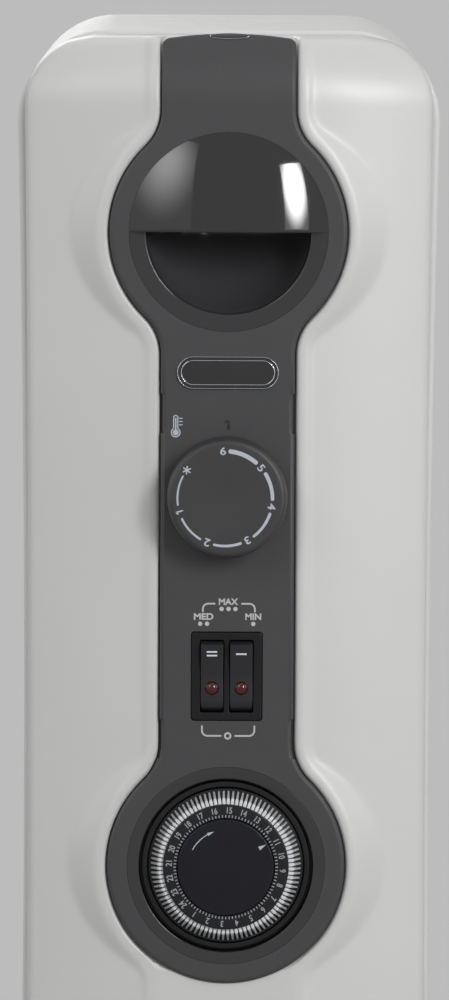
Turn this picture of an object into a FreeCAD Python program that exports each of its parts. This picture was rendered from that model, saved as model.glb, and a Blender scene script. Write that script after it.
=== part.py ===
"""Seven-fin oil-filled radiator on castors, with a timer, a thermostat and two switches.

X runs across the fins, Y along the fin stack with the control end at -Y, and Z up.
The origin is on the floor under the middle of the whole object. Sizes are millimetres.
A depth is counted along Y from the lip of the front cover, positive towards the back.
"""
import FreeCAD, Part
import math
import os

from FreeCAD import Vector

# Fits and sheet
running_clearance = 0.08
part_clearance = 0.2
moving_gap = 0.6
press_gap = 0.02

# Fin stack
fin_count = 7
fin_pitch = 42.0
fin_height = 570.0
fin_shoulder_width = 160.0
fin_waist_inset = 3.8
fin_corner_radius = 34.0
fin_flange_depth = 30.0
fin_fold = 3.0
fin_hem = 5.0
fin_sheet = 0.7

# Oil gallery pressed into each fin
gallery_width = 112.0
gallery_half_thickness = 7.0
gallery_draft = 4.0
gallery_corner = 24.0
gallery_wall = 0.9
column_width = 27.0
island_corner = 10.0
header_inset = 62.0
header_radius = 20.0
header_wall = 1.2

# Heating element
element_radius = 3.2
element_leg_half_pitch = 5.0
element_row_half_pitch = 5.5
element_pin_length = 9.0
element_flange_lip = 3.0
element_flange_thickness = 5.0
plug_radius = 9.0
plug_height = 3.5
plug_hex_half = 6.0
plug_hex_height = 5.0

# Front cover
cover_width = 152.0
cover_waist_inset = 1.8
cover_corner_radius = 26.5
cover_top_drop = 1.0
cover_bottom_rise = 4.0
cover_depth = 45.0
cover_sheet = 1.0
cover_fin_gap = 1.0
arch_radius = 190.0
arch_flat_half = 18.5
roll_radius = 36.0
roll_height = 26.0
lip_width = 4.5
lip_round = 1.6
crescent_reach = 14.7
crescent_depth = 8.3

# Control strip
strip_half_width = 25.4
lobe_blend = 18.9
strip_proud = 1.5
strip_edge_round = 1.3
strip_lap = 2.5
strip_top_rise = 1.0
strip_top_crown = 150.0
strip_top_corner = 3.5
top_neck = 1.5
clip_thickness = 1.8
clip_length = 10.0
clip_hook = 1.4
clip_depth = 2.2
upper_clip_below_handle = 67.0
lower_clip_above_timer = 48.5
slit_width = 1.0
slit_edge = 2.2
slit_length = 15.0
upper_slit_below_handle = 67.5
lower_slit_above_timer = 47.3

# Recessed handle
bowl_radius = 30.6
ring_width = 6.4
bowl_depth = 24.0
bowl_wall = 2.0
ring_sink = 2.4
seat_flange = 3.6
seat_thickness = 1.6
seat_gap = 1.5
hood_rise = 8.0
hood_wall = 2.5
hood_grip_wall = 4.6
hood_grip_height = 4.0

# Badges
badge_handle_gap = 9.05
badge_width = 38.0
badge_height = 12.3
badge_rim_width = 1.1
badge_rim_proud = 1.0
badge_plate_proud = 0.5
top_badge_width = 15.0
top_badge_height = 2.8
top_badge_proud = 0.6
top_badge_angle = 42.5

# Thermostat
knob_badge_gap = 17.35
knob_radius = 22.5
knob_taper = 0.6
knob_height = 13.4
knob_edge_round = 2.0
knob_wall = 2.2
knob_hub_radius = 6.0
shaft_radius = 3.0
shaft_flat = 1.0
shaft_hole = 5.0
thermostat_width = 32.0
thermostat_height = 36.0
thermostat_depth = 24.0
thermostat_screw_half_pitch = 12.0
thermostat_screw_length = 6.0
thermostat_bore_depth = 12.0
thermostat_screw_room = 2.0

# Twin rocker switch
switch_knob_gap = 28.2
switch_side_wall = 3.46
switch_end_wall = 2.9
switch_corner = 1.6
switch_proud = 0.3
switch_flange = 2.4
switch_depth = 20.0
rocker_width = 8.4
rocker_side_gap = 0.25
rocker_swing_radius = 13.2
rocker_end_gap = 0.3
rocker_tilt = 12.0
rocker_face_depth = -1.9
rocker_pivot_depth = 1.0
rocker_back_depth = 7.0
rocker_pin_radius = 1.2
rocker_pin_length = 0.7
rocker_pin_wall = 0.58
window_depth = 15.0
lens_radius = 2.55
lens_below_middle = 4.4
lens_rise = 0.9
lens_length = 3.0

# Timer
timer_switch_gap = 17.5
timer_bezel_width = 4.4
timer_bezel_sink = 2.5
timer_bezel_wall = 2.0
timer_well_depth = 13.0
dial_border = 0.5
dial_well_gap = 3.7
dial_rise = 9.4
dial_rim_thickness = 4.9
dial_wall = 2.0
dial_hub_wall = 2.5
number_ring_width = 5.0
number_ring_height = 1.0
tappet_count = 96
tappet_ring_gap = 0.3
tappet_length = 4.6
tappet_width = 1.0
tappet_drop = 0.2
tappet_fall = 5.1
tappet_inner_height = 2.5
tappet_outer_height = 1.2
cap_radius = 17.9
cap_thickness = 1.7
cap_edge_gap = 0.4
cap_dial_gap = 0.5
spindle_radius = 4.0
timer_body_width = 52.0
timer_body_corner = 8.0
timer_body_depth = 24.0

# Heat shield behind the cover and what it carries
shield_sheet = 1.0
shield_setback = 1.0
shield_clearance = 0.3
shield_tab_half = 28.0
shield_tab_reach = 13.0
shield_hole_clearance = 2.0
spacer_radius = 4.0
spacer_half_pitch = 16.0
spacer_from_header = 70.0
screw_radius = 1.9
screw_head_radius = 3.5
screw_head_height = 1.8
cover_screw_half_pitch = 18.0
cover_screw_length = 6.0
terminal_width = 44.0
terminal_height = 16.0
terminal_depth = 12.0
terminal_timer_gap = 12.0
terminal_ways = 4
terminal_wire_radius = 2.75
terminal_screw_radius = 2.2
cutout_radius = 8.0
cutout_thickness = 6.0
cutout_cap_radius = 6.4
cutout_above_header = 90.0

# Cable gland in the bottom of the cover
gland_tab_gap = 3.0
gland_shield_gap = 3.0
gland_flange_radius = 9.0
gland_flange_height = 3.0
gland_sleeve_radius = 6.5
gland_bore_radius = 3.6
gland_drop = 16.0

# Feet
foot_span = 245.0
foot_width = 48.0
foot_saddle_half = 46.0
foot_end_drop = 9.0
foot_middle_thickness = 16.0
foot_height = 23.0
foot_wall = 3.0
foot_slope_inner = 46.0
foot_slope_outer = 72.0
foot_rib = 2.5
foot_cross_rib = 60.0
boss_radius = 9.0
u_bolt_wire = 2.5
u_bolt_gap = 0.3
u_bolt_tail = 17.0
u_bolt_boss = 7.0
washer_radius = 6.5
washer_thickness = 1.5
wing_nut_radius = 5.0
wing_nut_tip_radius = 4.0
wing_nut_height = 7.0
wing_span = 26.0
wing_thickness = 2.4
wing_bow = 9.75
wing_bow_drop = 2.0
wing_root_drop = 1.75
wing_tip_drop = 3.0
wing_low_drop = 4.5

# Castors
wheel_radius = 20.0
wheel_width = 10.0
wheel_edge_round = 2.0
wheel_dish = 3.0
wheel_dish_radius = 13.0
axle_radius = 2.5
fork_web = 6.0
fork_trail = 14.0
fender_gap = 1.2
fender_wall = 2.3
fender_skirt = 3.0
fork_hub_radius = 6.0
fork_boss_radius = 8.5
fork_crown = 2.9
fork_foot_gap = 0.6
stem_radius = 4.0
stem_seat = 7.0
stem_rise = 14.5
stem_end_gap = 0.5

# Sizes that the ones above give
header_bar = 2 * (header_radius + gallery_draft)
element_flange_radius = header_radius + element_flange_lip
handle_radius = bowl_radius + ring_width
number_ring_inner = cap_radius + cap_edge_gap
number_ring_outer = number_ring_inner + number_ring_width
tappet_inner = number_ring_outer + tappet_ring_gap
tappet_outer = tappet_inner + tappet_length
dial_radius = tappet_outer + dial_border
timer_bezel_inner = dial_radius + dial_well_gap
timer_bezel_radius = timer_bezel_inner + timer_bezel_width
lobe_radius = max(handle_radius, timer_bezel_radius) + seat_flange + seat_gap + strip_lap
lobe_rise = math.sqrt((lobe_radius + lobe_blend) ** 2 - (strip_half_width + lobe_blend) ** 2)
rocker_half_pitch = rocker_width / 2 + rocker_side_gap + rocker_pin_length + rocker_pin_wall / 2
rocker_window_half = rocker_swing_radius + rocker_end_gap
switch_width = 2 * (rocker_half_pitch + rocker_width / 2 + switch_side_wall)
switch_height = 2 * (rocker_window_half + switch_end_wall)

# Heights that the sizes above give
fork_top = 2 * wheel_radius + fender_gap + fender_wall + fork_crown
foot_end_floor = fork_top + fork_foot_gap
fin_bottom = foot_end_floor + foot_height
fin_top = fin_bottom + fin_height
cover_top = fin_top - cover_top_drop
cover_bottom = fin_bottom + cover_bottom_rise
roll_top = cover_top - roll_height
roll_bottom = cover_bottom + roll_height
header_low = fin_bottom + header_inset
header_high = fin_top - header_inset
handle_z = roll_top - top_neck - lobe_rise
badge_z = handle_z - handle_radius - badge_handle_gap - badge_height / 2
knob_z = badge_z - badge_height / 2 - knob_badge_gap - knob_radius
switch_z = knob_z - knob_radius - switch_knob_gap - switch_height / 2
timer_z = switch_z - switch_height / 2 - timer_switch_gap - timer_bezel_radius

# Depths that the sizes above give
strip_face = -strip_proud
knob_face = strip_face - moving_gap - knob_height
first_fin_depth = cover_depth + cover_fin_gap + fin_flange_depth / 2
last_fin_depth = first_fin_depth + (fin_count - 1) * fin_pitch
rear_depth = last_fin_depth + fin_flange_depth / 2
front_depth = min(knob_face, strip_face - hood_rise)
lip_y = -(front_depth + rear_depth) / 2
shield_back = cover_depth - shield_setback
shield_front = shield_back - shield_sheet
boss_depth = first_fin_depth - fin_flange_depth / 2
front_foot_depth = first_fin_depth + fin_pitch / 2
rear_foot_depth = last_fin_depth - fin_pitch / 2
bezel_lip_depth = strip_face + timer_bezel_sink
cap_depth = bezel_lip_depth - dial_rise
dial_floor_depth = cap_depth + cap_thickness + cap_dial_gap
dial_face_depth = dial_floor_depth - number_ring_height
tappet_inner_depth = dial_floor_depth + tappet_drop
tappet_outer_depth = tappet_inner_depth + tappet_fall
dial_rim_depth = tappet_outer_depth + tappet_outer_height
dial_back_depth = dial_rim_depth + dial_rim_thickness
gland_depth = shield_front - gland_flange_radius - gland_shield_gap

# Places across that the sizes above give
castor_x = foot_span / 2 - foot_width / 2
gland_x = shield_tab_half + gland_flange_radius + gland_tab_gap

ALONG_X = Vector(1, 0, 0)
ALONG_Y = Vector(0, 1, 0)
ALONG_Z = Vector(0, 0, 1)
OVERCUT = 5.0
TOLERANCE = 1e-4


# Basic shapes
def at(x, depth, z):
    """Point at a place across, behind the cover's lip, and up."""
    return Vector(x, lip_y + depth, z)


def outline(place, start, *steps):
    """Closed wire from flat points. A step is a point, or a (through, end) pair for an arc."""
    edges = []
    here = start
    for step in steps:
        if isinstance(step[0], tuple):
            through, end = step
            edges.append(Part.Arc(place(*here), place(*through), place(*end)).toShape())
        else:
            end = step
            edges.append(Part.LineSegment(place(*here), place(*end)).toShape())
        here = end
    if math.dist(here, start) > TOLERANCE:
        edges.append(Part.LineSegment(place(*here), place(*start)).toShape())
    return Part.Wire(edges)


def flip(point):
    """Mirror a flat point in the middle line."""
    return (-point[0], point[1])


def both_sides(start, steps):
    """Steps of a right side, followed by its mirror image back up the left side."""
    back = []
    here = start
    for step in steps:
        if isinstance(step[0], tuple):
            back.append((flip(step[0]), flip(here)))
            here = step[1]
        else:
            back.append(flip(here))
            here = step
    across = [flip(here)] if abs(here[0]) > TOLERANCE else []
    return list(steps) + across + back[::-1]


def front_plane(depth):
    """Flat (x, z) points in an upright plane at a depth."""
    return lambda x, z: at(x, depth, z)


def plan_plane(z):
    """Flat (x, depth) points in a level plane."""
    return lambda x, depth: at(x, depth, z)


def turned(x, z, start, *steps, angle=360.0, first=0.0):
    """Turn a (radius, depth) profile about a Y axis, from a first angle above +X."""
    place = lambda radius, depth: at(x + radius, depth, z)
    solid = Part.Face(outline(place, start, *steps)).revolve(at(x, 0, z), -ALONG_Y, angle)
    return solid.rotated(at(x, 0, z), -ALONG_Y, first)


def plate(wire, thickness):
    """Extrude an upright wire towards the back."""
    return Part.Face(wire).extrude(ALONG_Y * thickness)


def box(x_low, x_high, depth_low, depth_high, z_low, z_high):
    """Block between two corners."""
    corner = at(x_low, depth_low, z_low)
    return Part.makeBox(x_high - x_low, depth_high - depth_low, z_high - z_low, corner)


def rod_x(radius, x_low, x_high, depth, z):
    """Round bar along X."""
    return Part.makeCylinder(radius, x_high - x_low, at(x_low, depth, z), ALONG_X)


def rod_y(radius, depth_low, depth_high, x, z):
    """Round bar along Y."""
    return Part.makeCylinder(radius, depth_high - depth_low, at(x, depth_low, z), ALONG_Y)


def rod_z(radius, z_low, z_high, x, depth):
    """Round bar along Z."""
    return Part.makeCylinder(radius, z_high - z_low, at(x, depth, z_low), ALONG_Z)


def rounded_rectangle(half_width, z_low, z_high, corner, depth):
    """Upright rectangle with round corners, about the middle line."""
    slack = corner * (1 - math.sqrt(0.5))
    inner = half_width - corner
    side = [
        ((half_width - slack, z_high - slack), (half_width, z_high - corner)),
        (half_width, z_low + corner),
        ((half_width - slack, z_low + slack), (inner, z_low)),
    ]
    start = (inner, z_high)
    return outline(front_plane(depth), start, *both_sides(start, side))


def pill(width, height, z, depth):
    """Upright outline of two half circles and two straight edges."""
    radius = height / 2
    reach = width / 2
    side = [((reach, z), (reach - radius, z - radius))]
    start = (reach - radius, z + radius)
    return outline(front_plane(depth), start, *both_sides(start, side))


def waisted(width, waist_inset, corner, z_low, z_high, inset, depth):
    """Rounded rectangle whose sides bow inwards by waist_inset, drawn inside by inset."""
    radius = corner - inset
    waist = width / 2 - waist_inset - inset
    centre_x = width / 2 - corner
    centre_z = z_high - corner
    middle = (z_low + z_high) / 2
    reach = waist - centre_x
    rise = centre_z - middle
    side_radius = (reach**2 + rise**2 - radius**2) / (2 * (radius - reach))
    scale = radius / (side_radius + radius)
    tangent_x = centre_x + scale * (waist + side_radius - centre_x)
    tangent_z = centre_z - scale * rise
    turn = math.radians(90) + math.atan2(tangent_z - centre_z, tangent_x - centre_x)
    bow_x = centre_x + radius * math.cos(turn / 2)
    bow_z = centre_z + radius * math.sin(turn / 2)
    side = [
        ((bow_x, bow_z), (tangent_x, tangent_z)),
        ((waist, middle), (tangent_x, 2 * middle - tangent_z)),
        ((bow_x, 2 * middle - bow_z), (centre_x, z_low + inset)),
    ]
    start = (centre_x, z_high - inset)
    return outline(front_plane(depth), start, *both_sides(start, side))


def lobed(spread, z_high, depth, z_low=None):
    """Strip outline with two round lobes, grown by spread.

    With z_low the strip goes on below the lower lobe. Without it, the lobe ends the strip.
    """
    half = strip_half_width + spread
    radius = lobe_radius + spread
    blend = lobe_blend - spread
    touch_x = radius * (half + blend) / (radius + blend)
    touch_z = radius * lobe_rise / (radius + blend)
    half_turn = math.atan2(lobe_rise, half + blend) / 2
    bow_x = half + blend - blend * math.cos(half_turn)
    bow_z = lobe_rise - blend * math.sin(half_turn)

    def lobe(z):
        return [
            (half, z + lobe_rise),
            ((bow_x, z + bow_z), (touch_x, z + touch_z)),
            ((radius, z), (touch_x, z - touch_z)),
        ]

    def leave(z):
        return [((bow_x, z - bow_z), (half, z - lobe_rise))]

    side = lobe(handle_z) + leave(handle_z) + lobe(timer_z)
    if z_low is None:
        side[-1] = ((radius, timer_z), (touch_x, timer_z - touch_z))
        halfway = (math.atan2(touch_z, touch_x) + math.radians(90)) / 2
        foot = (radius * math.cos(halfway), timer_z - radius * math.sin(halfway))
        side.append((foot, (0.0, timer_z - radius)))
    else:
        side += leave(timer_z) + [(half, z_low)]
    start = (half, z_high)
    return outline(front_plane(depth), start, *both_sides(start, side))


def rolled(section, low_end=True):
    """Bar of a level section, rolled back over the cover's top and, with low_end, its bottom."""
    face = Part.Face(section)
    bar = face.extrude(ALONG_Z * (roll_top - roll_bottom))
    raised = face.translated(ALONG_Z * (roll_top - roll_bottom))
    bar = bar.fuse(raised.revolve(at(0, roll_radius, roll_top), ALONG_X, -90))
    if low_end:
        bar = bar.fuse(face.revolve(at(0, roll_radius, roll_bottom), ALONG_X, 90))
    return bar


# Fins
def fin_wire(inset, depth):
    """Fin outline at a depth, drawn inside by inset."""
    return waisted(
        fin_shoulder_width, fin_waist_inset, fin_corner_radius, fin_bottom, fin_top, inset, depth
    )


def fin_tray():
    """Two pressed sheets back to back: a web, and a hemmed rim folded both ways with a seam groove."""
    half = fin_flange_depth / 2
    tray = Part.makeLoft([fin_wire(0, -half), fin_wire(0, -fin_fold)], True, True)
    tray = tray.fuse(Part.makeLoft([fin_wire(0, -fin_fold), fin_wire(fin_fold, 0)], True, True))
    hem_back = fin_sheet - half
    pocket = Part.makeLoft([fin_wire(fin_sheet, hem_back), fin_wire(fin_sheet, -fin_fold)], True, True)
    pocket = pocket.fuse(plate(fin_wire(fin_hem, -half - OVERCUT), fin_sheet + 2 * OVERCUT))
    floor = fin_wire(fin_fold, -fin_sheet)
    pocket = pocket.fuse(Part.makeLoft([fin_wire(fin_sheet, -fin_fold), floor], True, True))
    front = tray.cut(pocket)
    return front.fuse(front.mirror(at(0, 0, 0), ALONG_Y))


def gallery(wall):
    """Drafted loop of two columns and two header bars, both sides of the web, less a wall."""
    half_width = gallery_width / 2 - wall
    low = header_low - header_bar / 2 + wall
    high = header_high + header_bar / 2 - wall
    island = gallery_width / 2 - column_width + wall
    island_low = header_low + header_bar / 2 - wall
    island_high = header_high - header_bar / 2 + wall
    top = gallery_half_thickness - (fin_sheet if wall else 0.0)
    draft = gallery_draft * top / gallery_half_thickness
    body = Part.makeLoft(
        [
            rounded_rectangle(half_width, low, high, gallery_corner - wall, 0),
            rounded_rectangle(
                half_width - draft, low + draft, high - draft, gallery_corner - wall - draft, -top
            ),
        ],
        True,
        True,
    )
    hole = Part.makeLoft(
        [
            rounded_rectangle(island, island_low, island_high, island_corner + wall, 0),
            rounded_rectangle(
                island + draft,
                island_low - draft,
                island_high + draft,
                island_corner + wall + draft,
                -top,
            ),
        ],
        True,
        True,
    )
    front = body.cut(hole)
    return front.fuse(front.mirror(at(0, 0, 0), ALONG_Y))


def fin(front_low, front_high, back_low, back_high):
    """One fin about depth 0, with header collars of the four reaches. Zero is a closed wall."""
    solid = fin_tray().fuse(gallery(0.0))
    cavity = gallery(gallery_wall)
    blind = gallery_half_thickness - fin_sheet
    for z, front, back in ((header_low, front_low, back_low), (header_high, front_high, back_high)):
        if front or back:
            solid = solid.fuse(rod_y(header_radius, -front, back, 0, z))
        bore_front = -front - OVERCUT if front else -blind
        bore_back = back + OVERCUT if back else blind
        cavity = cavity.fuse(rod_y(header_radius - header_wall, bore_front, bore_back, 0, z))
    return solid.cut(cavity)


def fin_stack():
    """All fins in place, by node name."""
    joint = fin_pitch / 2
    boss = fin_flange_depth / 2
    first = fin(boss, 0, joint, joint)
    inner = fin(joint, joint, joint, joint)
    last = fin(joint, joint, 0, 0)
    shapes = [first] + [inner] * (fin_count - 2) + [last]
    return {
        f"fin_{index + 1}": shape.translated(ALONG_Y * (first_fin_depth + index * fin_pitch))
        for index, shape in enumerate(shapes)
    }


# Heating
def hairpin(radius, first_end, first_bend, crown, last_bend, last_end, along):
    """Round wire from one end along a straight leg, round a half circle and back."""
    path = Part.Wire(
        [
            Part.LineSegment(first_end, first_bend).toShape(),
            Part.Arc(first_bend, crown, last_bend).toShape(),
            Part.LineSegment(last_bend, last_end).toShape(),
        ]
    )
    section = Part.Wire(Part.makeCircle(radius, first_end, along))
    return path.makePipeShell([section], True, True)


def element_hairpin(z):
    """One heating rod bent into a long hairpin along the lower header."""
    start = boss_depth - element_flange_thickness - element_pin_length
    end = last_fin_depth - element_leg_half_pitch
    reach = element_leg_half_pitch
    return hairpin(
        element_radius,
        at(-reach, start, z),
        at(-reach, end, z),
        at(0, end + reach, z),
        at(reach, end, z),
        at(reach, start, z),
        ALONG_Y,
    )


def element_legs():
    """Places (x, z) where the rods pass the end flange."""
    return [
        (x, header_low + z)
        for x in (-element_leg_half_pitch, element_leg_half_pitch)
        for z in (-element_row_half_pitch, element_row_half_pitch)
    ]


def heating_element():
    """Two hairpin rods, one for each switch."""
    rows = (-element_row_half_pitch, element_row_half_pitch)
    return Part.makeCompound([element_hairpin(header_low + z) for z in rows])


def element_flange():
    """Disc that closes the lower header and holds the rods."""
    front = boss_depth - element_flange_thickness
    disc = rod_y(element_flange_radius, front, boss_depth, 0, header_low)
    for x, z in element_legs():
        hole = rod_y(element_radius + press_gap, front - OVERCUT, boss_depth + OVERCUT, x, z)
        disc = disc.cut(hole)
    return disc


def oil_plug():
    """Filler plug with a hexagon, on the back of the last fin."""
    back = last_fin_depth + gallery_half_thickness
    plug = rod_y(plug_radius, back, back + plug_height, 0, header_high)
    corners = [
        (
            plug_hex_half * math.cos(math.radians(60 * step)),
            header_high + plug_hex_half * math.sin(math.radians(60 * step)),
        )
        for step in range(6)
    ]
    hexagon = outline(front_plane(back + plug_height), *corners)
    return plug.fuse(plate(hexagon, plug_hex_height))


# Front cover
def arch_depth(x, inset):
    """Depth of the arched front at x, moved back by inset."""
    crown = math.sqrt(arch_radius**2 - arch_flat_half**2)
    return crown - math.sqrt((arch_radius - inset) ** 2 - x**2)


def arch_section(inset):
    """Level section of the cover: flat in the middle, then an arc back to each side."""
    crown = math.sqrt(arch_radius**2 - arch_flat_half**2)
    flat = math.sqrt((arch_radius - inset) ** 2 - (crown - inset) ** 2)
    side = cover_width / 2 + OVERCUT
    middle = (flat + side) / 2
    right = [
        ((middle, arch_depth(middle, inset)), (side, arch_depth(side, inset))),
        (side, roll_radius),
    ]
    start = (flat, inset)
    return outline(plan_plane(roll_bottom), start, *both_sides(start, right))


def plateau_section(inset, side_inset, rounding):
    """Level section of the raised band down the middle of the cover, with a rounded lip."""
    lip = strip_half_width + lip_width - side_inset
    foot = strip_half_width + crescent_reach - side_inset
    slope = math.atan2(crescent_depth, crescent_reach - lip_width)
    back_off = rounding * math.tan(slope / 2)
    start = (lip - back_off, inset)
    right = [(foot, crescent_depth + inset)]
    if rounding:
        bow = (
            lip - back_off + rounding * math.sin(slope / 2),
            inset + rounding * (1 - math.cos(slope / 2)),
        )
        wall = (lip + back_off * math.cos(slope), inset + back_off * math.sin(slope))
        right.insert(0, (bow, wall))
    return outline(plan_plane(roll_bottom), start, *both_sides(start, right))


def front_edges(solid, depth):
    """Edges of a solid that lie wholly in the upright plane at a depth, but for its level ends."""
    level = lip_y + depth
    chosen = []
    for edge in solid.Edges:
        flat = abs(edge.BoundBox.YMin - level) + abs(edge.BoundBox.YMax - level) < TOLERANCE
        if flat and edge.BoundBox.ZLength > TOLERANCE:
            chosen.append(edge)
    return chosen


def plateau(inset, side_inset, rounding):
    """Raised band with a round plateau and sloping crescents about each lobe."""
    lip = lobed(lip_width - side_inset, roll_top, inset, roll_bottom)
    foot = lobed(crescent_reach - side_inset, roll_top, crescent_depth + inset, roll_bottom)
    middle = Part.makeLoft([lip, foot], True, True)
    if rounding:
        middle = middle.makeFillet(rounding, front_edges(middle, inset))
    return middle.fuse(rolled(plateau_section(inset, side_inset, rounding)))


def cover_wire(inset, depth):
    """Cover outline at a depth, drawn inside by inset."""
    return waisted(
        cover_width, cover_waist_inset, cover_corner_radius, cover_bottom, cover_top, inset, depth
    )


def cover_block(inset, side_inset, rounding, back):
    """Cover as a full body, drawn inside by inset, out to a back depth."""
    front = rolled(arch_section(inset)).fuse(plateau(inset, side_inset, rounding))
    trim = plate(cover_wire(inset, -OVERCUT), roll_radius + OVERCUT)
    rear = plate(cover_wire(inset, roll_radius), back - roll_radius)
    return front.common(trim).fuse(rear)


def front_cover():
    """Pressed cover, open at the back, with the opening for the control strip."""
    inner_side = cover_sheet + lip_round / 2
    shell = cover_block(0.0, 0.0, lip_round, cover_depth)
    shell = shell.cut(cover_block(cover_sheet, inner_side, 0.0, cover_depth + OVERCUT))
    opening = plate(lobed(-strip_lap, roll_top, -OVERCUT), cover_sheet + 2 * OVERCUT)
    shell = shell.cut(opening)
    hole = gland_sleeve_radius + part_clearance
    below = cover_bottom - OVERCUT
    above = cover_bottom + cover_sheet + OVERCUT
    shell = shell.cut(rod_z(hole, below, above, gland_x, gland_depth))
    for x, depth in cover_screw_places():
        shell = shell.cut(rod_z(screw_radius + part_clearance, below, above, x, depth))
    return shell


# Control strip
def strip_trim():
    """Upright block with the crowned top edge and round top corners of the strip."""
    top = cover_top + strip_top_rise
    half = strip_half_width
    corner = strip_top_corner
    shoulder = half - corner
    drop = strip_top_crown - math.sqrt(strip_top_crown**2 - shoulder**2)
    slack = corner * (1 - math.sqrt(0.5))
    side = [
        ((half - slack, top - drop - slack), (half, top - drop - corner)),
        (half, roll_top),
        (lobe_radius + OVERCUT, roll_top),
        (lobe_radius + OVERCUT, timer_z - lobe_radius - OVERCUT),
    ]
    start = (shoulder, top - drop)
    steps = both_sides(start, side)
    steps.append(((0.0, top), start))
    wire = outline(front_plane(-OVERCUT), start, *steps)
    return plate(wire, roll_radius + OVERCUT)


def strip_band():
    """Level section of the strip's neck, with rounded front edges."""
    edge = strip_edge_round
    slack = edge * (1 - math.sqrt(0.5))
    half = strip_half_width
    start = (half - edge, strip_face)
    right = [
        ((half - slack, strip_face + slack), (half, strip_face + edge)),
        (half, 0.0),
    ]
    return outline(plan_plane(roll_top), start, *both_sides(start, right))


def strip_slit(side, z):
    """Narrow slot beside an edge of the neck."""
    middle = side * (strip_half_width - slit_edge)
    half = slit_length / 2
    left = middle - slit_width / 2
    return box(left, left + slit_width, strip_face - OVERCUT, OVERCUT, z - half, z + half)


def strip_clip(side, z):
    """Moulded tongue that hooks behind the edge of the cover's opening."""
    outer = strip_half_width - strip_lap - part_clearance
    inner = outer - clip_thickness
    end = cover_sheet + clip_depth
    low = z - clip_length / 2
    high = z + clip_length / 2
    tongue = box(inner, outer, strip_face + strip_proud / 2, end, low, high)
    clip = tongue.fuse(box(inner, outer + clip_hook, cover_sheet, end, low, high))
    return clip if side > 0 else clip.mirror(at(0, 0, 0), ALONG_X)


def fascia():
    """Moulded control strip, clipped over the opening and rolled over the cover's top."""
    flat = plate(lobed(0.0, roll_top, strip_face), strip_proud)
    flat = flat.makeFillet(strip_edge_round, front_edges(flat, strip_face))
    roll = Part.Face(strip_band()).revolve(at(0, roll_radius, roll_top), ALONG_X, -90)
    solid = flat.fuse(roll).common(strip_trim())
    back = OVERCUT
    front = strip_face - OVERCUT
    rounds = ((handle_radius, handle_z), (timer_bezel_radius, timer_z), (shaft_hole, knob_z))
    for radius, z in rounds:
        solid = solid.cut(rod_y(radius + part_clearance, front, back, 0, z))
    half = switch_width / 2 + part_clearance
    tall = switch_height / 2 + part_clearance
    window = rounded_rectangle(half, switch_z - tall, switch_z + tall, switch_corner, front)
    solid = solid.cut(plate(window, back - front))
    for side in (-1, 1):
        solid = solid.cut(strip_slit(side, handle_z - upper_slit_below_handle))
        solid = solid.cut(strip_slit(side, timer_z + lower_slit_above_timer))
        screw_x = side * thermostat_screw_half_pitch
        solid = solid.cut(rod_y(screw_radius + part_clearance, front, back, screw_x, knob_z))
        solid = solid.fuse(strip_clip(side, handle_z - upper_clip_below_handle))
        solid = solid.fuse(strip_clip(side, timer_z + lower_clip_above_timer))
    return solid


def badge_rim():
    """Oval bead round the blank badge."""
    front = strip_face - badge_rim_proud
    outer = plate(pill(badge_width, badge_height, badge_z, front), badge_rim_proud)
    inset = 2 * badge_rim_width
    inner = pill(badge_width - inset, badge_height - inset, badge_z, front - OVERCUT)
    return outer.cut(plate(inner, badge_rim_proud + 2 * OVERCUT))


def badge_plate():
    """Blank oval plate inside the bead."""
    inset = 2 * (badge_rim_width + press_gap)
    front = strip_face - badge_plate_proud
    return plate(pill(badge_width - inset, badge_height - inset, badge_z, front), badge_plate_proud)


def top_badge():
    """Small blank oval on the rolled top of the strip."""
    axis = at(0, roll_radius, roll_top)
    radius = roll_radius + strip_proud
    front = strip_face - top_badge_proud - OVERCUT
    flat = plate(pill(top_badge_width, top_badge_height, roll_top, front), 2 * OVERCUT)
    tilted = flat.rotated(axis, ALONG_X, -top_badge_angle)
    half = top_badge_width
    tube = rod_x(radius + top_badge_proud, -half, half, roll_radius, roll_top)
    tube = tube.cut(rod_x(radius, -half - OVERCUT, half + OVERCUT, roll_radius, roll_top))
    return tilted.common(tube)


# Recessed handle
def bowl_profile(under_hood):
    """Section of the bowl and its ring, which is flat under the hood and slopes inwards below it."""
    rim = bowl_radius
    lip = strip_face + ring_sink
    floor = lip + bowl_depth
    ball = (rim**2 + bowl_depth**2) / (2 * bowl_depth)
    centre = floor - ball
    half = rim / 2
    outer_rim = math.sqrt((ball + bowl_wall) ** 2 - (seat_thickness - centre) ** 2)
    outer_half = outer_rim / 2
    inside = centre + math.sqrt(ball**2 - half**2)
    outside = centre + math.sqrt((ball + bowl_wall) ** 2 - outer_half**2)
    ring = [(rim, strip_face)] if under_hood else []
    return [
        (0.0, floor),
        ((half, inside), (rim, lip)),
        *ring,
        (handle_radius, strip_face),
        (handle_radius, 0.0),
        (handle_radius + seat_flange, 0.0),
        (handle_radius + seat_flange, seat_thickness),
        (outer_rim, seat_thickness),
        ((outer_half, outside), (0.0, floor + bowl_wall)),
    ]


def handle_bowl():
    """Round bowl, with a flat ring under the hood and a sloping ring below it."""
    upper = turned(0, handle_z, *bowl_profile(True), angle=180)
    lower = turned(0, handle_z, *bowl_profile(False), angle=180, first=180)
    return upper.fuse(lower)


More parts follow.
